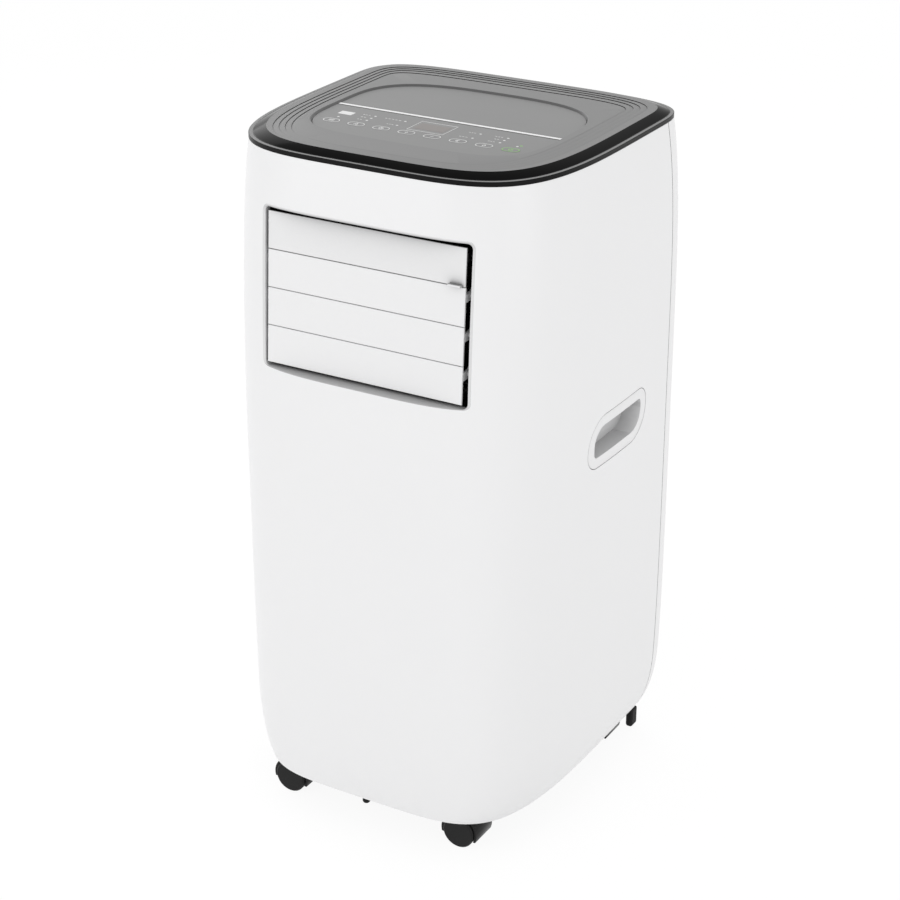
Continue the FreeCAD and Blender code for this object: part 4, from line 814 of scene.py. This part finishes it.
# %% [markdown]
# ## The back
# The rear casing closes the box behind the seam. It takes two grilles, the round outlet, the drain, the
# bush for the supply lead and eight sunk screws. It is cut from the same shell as the front, so the two
# meet on one surface. The places of the grilles, outlet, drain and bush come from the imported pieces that
# sit in them.

# %% Rear casing
SCREW_X = 0.130
SCREW_HEIGHTS = (0.110, 0.240, 0.372, 0.600)
BOSS_RADIUS = 0.0064
BOSS_LENGTH = 0.014
SCREW_WELL = 0.0045
SCREW_SINK = 0.0034
INLET_RADIUS = 0.009
COLLAR_WALL = 0.003
GRILLE_CORNER = 0.0064
GRILLE_PLAY = 0.0004
ROUND_PLAY = 0.0001
ROUND_POINTS = 72
BOSS_POINTS = 32
CUT_START = SEAM + 0.005
REAR_LIMIT = 0.25
bore = frame["record"]["mounts"][0]


def skin_rear(x, height):
    """How far back the rear skin stands, this far across and at this height."""
    half, front, rear, corner = reach(height)
    return WIDEST + (rear - WIDEST) * (1 - abs(x / half) ** corner) ** (1 / corner)


def disc(x, z, radius, count):
    """Points of a circle, anticlockwise as seen from the front."""
    turns = [2 * math.pi * step / count for step in range(count)]
    return [(x + radius * math.cos(turn), z + radius * math.sin(turn)) for turn in turns]


def middle_of(node):
    low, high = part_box(node)
    return (low[0] + high[0]) / 2, (low[2] + high[2]) / 2


def make_back():
    casing = make_shell("casing_back")
    holes = [wide_block("ahead_of_seam", (-1, -1, 0), (1, SEAM + SEAM_GAP / 2, 1))]
    for node in ("upper_intake_grille", "lower_intake_grille"):
        low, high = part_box(node)
        holes.append(wide_block(
            node + "_cut", (low[0] - GRILLE_PLAY, CUT_START, low[2] - GRILLE_PLAY),
            (high[0] + GRILLE_PLAY, REAR_LIMIT, high[2] + GRILLE_PLAY), GRILLE_CORNER,
        ))
    spout_low, spout_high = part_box("drain_spout")
    rounds = [
        (middle_of("exhaust_collar"), bore["dims"]["r_mm"] / 1000 + COLLAR_WALL),
        (middle_of("drain_spout"), (spout_high[0] - spout_low[0]) / 2),
        (middle_of("cord_inlet"), INLET_RADIUS),
    ]
    for index, ((x, z), radius) in enumerate(rounds):
        hole = disc(x, z, radius + ROUND_PLAY, ROUND_POINTS)
        holes.append(prism(f"round_{index}", hole, CUT_START, REAR_LIMIT, UPRIGHT))
    bosses = []
    for side in (-1, 1):
        for height in SCREW_HEIGHTS:
            x = side * SCREW_X
            skin = skin_rear(x, height)
            boss = disc(x, height, BOSS_RADIUS, BOSS_POINTS)
            bosses.append(prism("boss", boss, skin - BOSS_LENGTH, skin - WALL / 2, UPRIGHT))
            well = disc(x, height, SCREW_WELL, BOSS_POINTS)
            holes.append(prism("well", well, skin - SCREW_SINK, REAR_LIMIT, UPRIGHT))
    carve(casing, bosses, "UNION")
    carve(casing, holes)
    settle(casing, "rear_casing")
    return len(casing.data.polygons)


print("rear casing has", make_back(), "faces")

# %% [markdown]
# ## The seam's painted shade
# A dark strip fills the gap between the two halves of the casing, almost flush, and draws a fine grey line
# down each side, as painted shade for the gap. The imported halves stand half a millimetre apart, and here
# the gap is drawn a little wider, so that its line shows. The strip is narrow and follows the form from
# skirt to lid.

# %% Painted shade in the seam
SEAM_SHADE_DEPTH = 0.00005
SEAM_SHADE_THICKNESS = 0.0012
# the seal here is the dark strip of painted shade in the seam
SEAM_SHADE_END = 0.0002  # the seal stops this far short of the skirt and of the lid
SEAM_SHADE_ROWS = 60


def skin_side(y, height):
    """How far out the side skin stands, this far back and at this height."""
    half, front, rear, corner = reach(height)
    depth = rear - WIDEST if y > WIDEST else WIDEST - front
    return half * (1 - abs((y - WIDEST) / depth) ** corner) ** (1 / corner)


def make_seam_shade(side, name):
    tall = SEAT - SKIRT - 2 * SEAM_SHADE_END
    heights = [SKIRT + SEAM_SHADE_END + tall * step / SEAM_SHADE_ROWS for step in range(SEAM_SHADE_ROWS + 1)]
    near, far = SEAM - SEAM_GAP / 2, SEAM + SEAM_GAP / 2
    vertices = []
    for height in heights:
        for y, inset in ((near, 0), (far, 0), (far, SEAM_SHADE_THICKNESS), (near, SEAM_SHADE_THICKNESS)):
            vertices.append((side * (skin_side(y, height) - SEAM_SHADE_DEPTH - inset), y, height))
    faces = strip_faces(len(heights), 4)
    last = 4 * (len(heights) - 1)
    faces += [(3, 2, 1, 0), (last, last + 1, last + 2, last + 3)]
    seal = new_object(name, vertices, faces)
    face_outwards(seal)
    # the dark finish paints the shade of the seam's gap
    seal.data.materials.append(FINISH["seal"])
    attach(seal, "cabinet")
    return len(seal.data.polygons)


print("seam_shade_strips have", make_seam_shade(-1, "seam_shade_left"), make_seam_shade(1, "seam_shade_right"), "faces")

# %% [markdown]
# ## The lid
# The lid is one black moulding: an upright rim, a thin ledge, a sloping edge and a flat top. Four fine
# steps run round the top, each a short riser that faces inwards and a long ramp back up. They are what
# draws the thin dark lines at the far sides, and they vanish at the near sides, where the risers face
# away. The whole moulding is a chain of closed outlines, one above or inside the other.

# %% Lid outlines
TONGUE = 0.008  # the part of the lid that reaches down inside the casing
TONGUE_INSET = 0.0041
TONGUE_WALL = 0.0024
RIM = 0.0045
LEDGE_WIDTH = 0.0035
SHEET = 0.0028
LID_TOP = lid_high[2]
LEDGE = lid_low[2] + TONGUE + RIM
overlay_low, overlay_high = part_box("control_overlay")
RECESS_FLOOR = overlay_low[2]
SLOPE_INSET = 0.0132
STEPS = 4
STEP = 0.0006
STEP_SIDE, STEP_SIDE_SPACING = 0.0223, 0.0056
STEP_FRONT, STEP_FRONT_SPACING = 0.0152, 0.0038
STEP_REAR, STEP_REAR_SPACING = 0.0229, 0.0062
STEP_WIDEST = 0.086
STEP_CORNERS = (4.4, 4.5)
LAST_STEP = 0.0023  # the innermost step keeps a little more room at the rear
RAMP = 0.0034
LAST_RAMP = 0.0025
RING_CENTRE = 0.012
RING_TURNS = 26  # each turn halves what is left to find
RECESS_HALF, RECESS_FRONT, RECESS_REAR = 0.1218, -0.0937, 0.097
RECESS_CORNERS = (4.3, 3.0)


def ray_ring(height, half, front, rear, widest, corners):
    """The points of an outline that lie on evenly turned rays from one shared centre."""
    corner_front, corner_rear = corners
    points = []
    for step in range(AROUND):
        angle = 2 * math.pi * step / AROUND
        across, along = math.cos(angle), math.sin(angle)
        near, far = 0.0, 0.5
        for _ in range(RING_TURNS):
            middle = (near + far) / 2
            x, y = across * middle, RING_CENTRE + along * middle - widest
            depth, corner = (rear - widest, corner_rear) if y > 0 else (widest - front, corner_front)
            inside = abs(x / half) ** corner + abs(y / depth) ** corner < 1
            near, far = (middle, far) if inside else (near, middle)
        points.append((across * near, RING_CENTRE + along * near, height))
    return points


def lid_ring(height, inset):
    half, front, rear, corner = reach(SEAT)
    return ray_ring(height, half - inset, front + inset, rear - inset, WIDEST, (corner, corner))


def step_ring(step, height, extra=0.0):
    half, front, rear, corner = reach(SEAT)
    last = LAST_STEP * (step == STEPS - 1)
    return ray_ring(
        height,
        half - STEP_SIDE - STEP_SIDE_SPACING * step - extra,
        front + STEP_FRONT + STEP_FRONT_SPACING * step + extra,
        rear - STEP_REAR - STEP_REAR_SPACING * step - last - extra,
        STEP_WIDEST, STEP_CORNERS,
    )


def recess_ring(height, inset):
    """The shallow recess that the panel lies in."""
    return ray_ring(
        height, RECESS_HALF - inset, RECESS_FRONT + inset, RECESS_REAR - inset, RING_CENTRE,
        RECESS_CORNERS,
    )


print("lid from", round(SEAT, 4), "to", round(LID_TOP, 4))

# %% [markdown]
# ## Building the lid
# The outlines are joined into one skin, from the recess out over the steps, down the slope and the rim,
# and back in below the casing's edge. Eight wells are then cut for the keys. Four finishes share the
# moulding: the flat top is a dark grey, painted reflection of the bright tent on black plastic, the wall
# of the recess a little darker, a dimmer painted reflection, and the slope and the rim are nearly black.
# Which one a face takes follows from where it is and how far it faces up.

# %% Lid moulding
SOFT_EDGE = 0.0004
RECESS_DRAFT = 0.0015  # the recess narrows by this much down to its floor
LID_CREASE = math.radians(12)
PANEL_HALF, PANEL_DEPTH, PANEL_MARGIN = 0.1221, 0.106, 1.05  # the recess and a little round it
# The flat top's and the recess wall's finishes are painted reflection: greys on black plastic.
BLACK, TOP_REFLECTION, WALL_REFLECTION, SLOPE_BLACK = range(4)  # places in the lid's list of finishes
FLAT, SLOPING = 0.97, 0.3  # how far a face's normal points up, where 1 is straight up
LEDGE_START = LEDGE - 0.0005
SLOPE_START = LEDGE + 0.0006
KEYS = 8
KEY_PLAY = 0.0003
KEY_TRAVEL = 0.0006
LYING = Matrix(((1, 0, 0, 0), (0, 0, 1, 0), (0, 1, 0, 0), (0, 0, 0, 1)))


def oval(left, front, right, rear, steps=12):
    """An outline with straight long sides and half-round ends."""
    radius = (rear - front) / 2
    middle = (front + rear) / 2
    points = []
    for centre, start in ((right - radius, -math.pi / 2), (left + radius, math.pi / 2)):
        for step in range(steps + 1):
            turn = start + math.pi * step / steps
            points.append((centre + radius * math.cos(turn), middle + radius * math.sin(turn)))
    return points


def lid_rings():
    """Every outline of the moulding, from the floor of the recess to the underside of its sheet."""
    soft = SOFT_EDGE
    rings = [recess_ring(RECESS_FLOOR, RECESS_DRAFT), recess_ring(LID_TOP - soft, soft / 2),
             recess_ring(LID_TOP, -soft)]
    for step in reversed(range(STEPS)):
        ramp = RAMP if step < STEPS - 1 else LAST_RAMP
        rings += [step_ring(step, LID_TOP, ramp), step_ring(step, LID_TOP - STEP),
                  step_ring(step, LID_TOP - soft / 2), step_ring(step, LID_TOP, -soft / 2)]
    inner = TONGUE_INSET + TONGUE_WALL
    return rings + [
        lid_ring(LID_TOP, SLOPE_INSET + 2 * soft), lid_ring(LID_TOP - soft, SLOPE_INSET - soft),
        lid_ring(LEDGE + soft, LEDGE_WIDTH + soft), lid_ring(LEDGE, LEDGE_WIDTH - soft / 2),
        lid_ring(LEDGE, soft), lid_ring(LEDGE - soft, 0.0),
        lid_ring(SEAT + soft, 0.0), lid_ring(SEAT, soft), lid_ring(SEAT, TONGUE_INSET),
        lid_ring(SEAT - TONGUE, TONGUE_INSET), lid_ring(SEAT - TONGUE, inner),
        lid_ring(RECESS_FLOOR - SHEET, inner),
    ]


# Upward faces of the top take the painted reflection, the recess wall a dimmer one.
def lid_finish(face):
    x, y, z = face.center
    inside = abs(x / PANEL_HALF) ** 4 + abs((y - RING_CENTRE) / PANEL_DEPTH) ** 4 < PANEL_MARGIN
    if face.normal.z > FLAT and z > LEDGE_START:
        return TOP_REFLECTION
    if inside and z < LID_TOP:
        return WALL_REFLECTION
    if face.normal.z > SLOPING and z > SLOPE_START:
        return SLOPE_BLACK
    return BLACK


def make_lid():
    rings = lid_rings()
    vertices = [point for ring in rings for point in ring]
    lid = new_object("lid_moulding", vertices, strip_faces(len(rings), AROUND))
    face_outwards(lid, close=True)
    wells = []
    for index in range(KEYS):
        low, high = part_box(f"key_{index + 1}")
        outline = oval(low[0] - KEY_PLAY, low[1] - KEY_PLAY, high[0] + KEY_PLAY, high[1] + KEY_PLAY)
        wells.append(prism("well", outline, low[2] - KEY_TRAVEL, LID_TOP, LYING))
    carve(lid, wells)
    mesh = lid.data
    mesh.materials.clear()
    for finish in ("lid", "lid_top_painted_reflection", "lid_wall_painted_reflection", "lid_slope"):
        mesh.materials.append(FINISH[finish])
    for face in mesh.polygons:
        face.material_index = lid_finish(face)
    mesh.shade_smooth()
    mesh.set_sharp_from_angle(angle=LID_CREASE)
    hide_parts("lid_cover")
    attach(lid, "cabinet")
    return len(mesh.polygons)


print("lid has", make_lid(), "faces")

# %% [markdown]
# ## The printed panel
# The panel carries a bright strip, a display and small printed marks. The marks say nothing in words:
# each key has a plain sign for its job, and the lamps have rows of short dashes. A sign is drawn as a few
# strokes, and each stroke becomes a ribbon of even width with a paper-thin body, so that it is a real
# shape. The numbers in a sign are metres from the middle of its key. The signs ride on the keys.

# %% Strokes
PRINT_WIDTH = 0.0008
PRINT_BODY = 0.00006
OVERLAY_TOP = overlay_high[2]


def ribbon(points, width, closed=False):
    """Left and right edges of a stroke of even width through points on the panel."""
    count = len(points)
    pairs = []
    for index, point in enumerate(points):
        before = points[index - 1] if index or closed else point
        after = points[(index + 1) % count] if index < count - 1 or closed else point
        along = Vector((after[0] - before[0], after[1] - before[1])).normalized()
        across = Vector((-along.y, along.x)) * width / 2
        pairs.append((Vector(point) + across, Vector(point) - across))
    return pairs


def printed(name, strokes, height, finish, body, width=PRINT_WIDTH):
    """All the strokes of one sign as thin solid ribbons. A stroke is (points, closed)."""
    vertices, faces = [], []
    for points, closed in strokes:
        pairs = ribbon(points, width, closed)
        start = len(vertices)
        for left, right in pairs:
            for level in (height + PRINT_BODY, height - PRINT_BODY):
                vertices += [(left.x, left.y, level), (right.x, right.y, level)]
        count = len(pairs)
        for step in range(count if closed else count - 1):
            a = start + 4 * step
            b = start + 4 * ((step + 1) % count)
            faces += [(a, b, b + 1, a + 1), (a + 2, a + 3, b + 3, b + 2),
                      (a, a + 2, b + 2, b), (a + 1, b + 1, b + 3, a + 3)]
        if not closed:
            last = start + 4 * (count - 1)
            faces += [(start, start + 1, start + 3, start + 2), (last, last + 2, last + 3, last + 1)]
    item = new_object(name, vertices, faces)
    face_outwards(item)
    item.data.materials.append(FINISH[finish])
    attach(item, body)


def arc(x, y, radius, start, end, steps=14):
    """Points of an arc, angles in degrees."""
    turns = [math.radians(start + (end - start) * step / steps) for step in range(steps + 1)]
    return [(x + radius * math.cos(turn), y + radius * math.sin(turn)) for turn in turns]


# %% Signs on the keys
def swing_sign(x, y):
    return [([(x - 0.003, y + row), (x + 0.003, y + row)], False) for row in (-0.0016, 0, 0.0016)]


def fan_sign(x, y):
    strokes = []
    for turn in (90, 210, 330):
        tip = math.radians(turn)
        centre = (x + 0.0011 * math.cos(tip), y + 0.0011 * math.sin(tip))
        strokes.append((arc(*centre, 0.0011, turn - 180, turn + 40), False))
    return strokes


def clock_sign(x, y):
    hands = [(x, y + 0.0014), (x, y), (x + 0.0012, y)]
    return [(arc(x, y, 0.0021, 0, 340), True), (hands, False)]


def plus_sign(x, y):
    return [([(x - 0.0017, y), (x + 0.0017, y)], False), ([(x, y - 0.0019), (x, y + 0.0019)], False)]


def minus_sign(x, y):
    return [([(x - 0.0017, y), (x + 0.0017, y)], False)]


def moon_sign(x, y):
    return [(arc(x, y, 0.002, 60, 300), False), (arc(x + 0.0012, y, 0.0019, 110, 250), False)]


def drop_sign(x, y):
    return [(arc(x, y - 0.0004, 0.0014, 150, 390), False),
            ([(x - 0.0012, y + 0.0003), (x, y + 0.0023), (x + 0.0012, y + 0.0003)], False)]


def power_sign(x, y):
    return [(arc(x, y, 0.0019, 125, 415), False), ([(x, y + 0.0006), (x, y + 0.0026)], False)]


SIGNS = (swing_sign, fan_sign, clock_sign, plus_sign, minus_sign, moon_sign, drop_sign, power_sign)
SIGN_INSET = 0.0007  # from a key's edge to the line that frames its sign


def print_keys():
    for index, sign in enumerate(SIGNS):
        low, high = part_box(f"key_{index + 1}")
        inset = SIGN_INSET
        outline = oval(low[0] + inset, low[1] + inset, high[0] - inset, high[1] - inset)
        strokes = [(outline, True)] + sign((low[0] + high[0]) / 2, (low[1] + high[1]) / 2)
        finish = "print_green" if sign is power_sign else "print_grey"
        printed(f"key_print_{index + 1}", strokes, high[2], finish, f"key_{index + 1}")
    return len(SIGNS)


print(print_keys(), "keys printed")

# %% [markdown]
# ## Strip, display and lamps
# A bright strip crosses the panel, with a dark line along its front edge: a thin dark sheet that paints
# its shadow. The screen is a slightly darker pane in the display's film, inside a thin white frame. Dashes
# beside the lamps stand in for the short words that such a panel has.

# %% Display, strip and dashes
SCREEN_INSET = (0.0032, 0.0055)
SCREEN_BODY = 0.0001
FRAME_WIDTH = 0.0006
STRIP_HALF = 0.0021
STRIP_AHEAD = 0.0018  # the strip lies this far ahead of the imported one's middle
# the thin dark sheet of painted shadow along the strip's front edge
SHADOW_LINE_WIDTH = 0.0014
SHADOW_LINE_BODY = (0.0001, 0.00005)  # below and above the panel
SCREEN_EDGE, SHADOW_LINE_EDGE, STRIP_EDGE = 0.00005, 0.00003, 0.0002
DASH_WIDTH = 0.0009
DASH_SHARE = 0.62
LAMP_DASHES = (  # where each row ends, across and along the panel, its length and its dashes
    (-0.0705, -0.0263, 0.009, 3), (-0.0705, -0.034, 0.007, 2), (-0.0705, -0.0418, 0.006, 2),
    (-0.0362, -0.0268, 0.019, 5), (-0.0362, -0.0417, 0.008, 3),
    (0.0440, -0.0274, 0.008, 3), (0.0440, -0.0425, 0.010, 3),
    (0.0722, -0.0267, 0.009, 3), (0.0722, -0.0342, 0.006, 2), (0.0722, -0.0425, 0.008, 3),
)
WAVES = (0.0958, -0.0448, (0.0032, 0.0046))  # centre and radii of the arcs by the power key


def flat_bar(name, low, high, finish, softness):
    """A thin bar with softened edges that lies on the panel."""
    points = [(low[0], low[1]), (high[0], low[1]), (high[0], high[1]), (low[0], high[1])]
    bar = prism(name, points, low[2], high[2], LYING)
    bar.data.materials.append(FINISH[finish])
    soften(bar, softness)
    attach(bar, "cabinet")
    return bar


def dashes(x, y, length, count):
    """A row of short dashes that ends at a place, in the way a printed word would."""
    pitch = length / count
    rows = []
    for step in range(count):
        start = x - length + step * pitch
        rows.append(([(start, y), (start + DASH_SHARE * pitch, y)], False))
    return rows


def print_panel():
    low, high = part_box("display_window")
    inset_x, inset_y = SCREEN_INSET
    flat_bar(
        "display_screen", (low[0] + inset_x, low[1] + inset_y, high[2] - SCREEN_BODY),
        (high[0] - inset_x, high[1] - inset_y, high[2] + SCREEN_BODY), "screen", SCREEN_EDGE,
    )
    frame_line = [(low[0], low[1]), (high[0], low[1]), (high[0], high[1]), (low[0], high[1])]
    printed(
        "display_frame", [(frame_line, True)], high[2], "print_white", "cabinet", FRAME_WIDTH
    )
    low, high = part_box("trim_strip")
    middle = (low[1] + high[1]) / 2 - STRIP_AHEAD
    below, above = SHADOW_LINE_BODY
    # a thin dark sheet along the strip's front edge: its painted shadow line
    flat_bar(
        "strip_painted_shadow", (low[0], middle - STRIP_HALF - SHADOW_LINE_WIDTH, OVERLAY_TOP - below),
        (high[0], middle, OVERLAY_TOP + above), "shadow_line", SHADOW_LINE_EDGE,
    )
    bar = flat_bar(
        "panel_strip", (low[0], middle - STRIP_HALF, low[2]), (high[0], middle + STRIP_HALF, high[2]),
        "print_white", STRIP_EDGE,
    )
    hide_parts("trim_strip")
    words = [stroke for row in LAMP_DASHES for stroke in dashes(*row)]
    printed("lamp_dashes", words, OVERLAY_TOP, "print_grey", "cabinet", DASH_WIDTH)
    x, y, radii = WAVES
    waves = [(arc(x, y, radius, 25, 75, 6), False) for radius in radii]
    printed("power_waves", waves, OVERLAY_TOP, "print_green", "cabinet")
    return len(words)


print(print_panel(), "dashes beside the lamps")
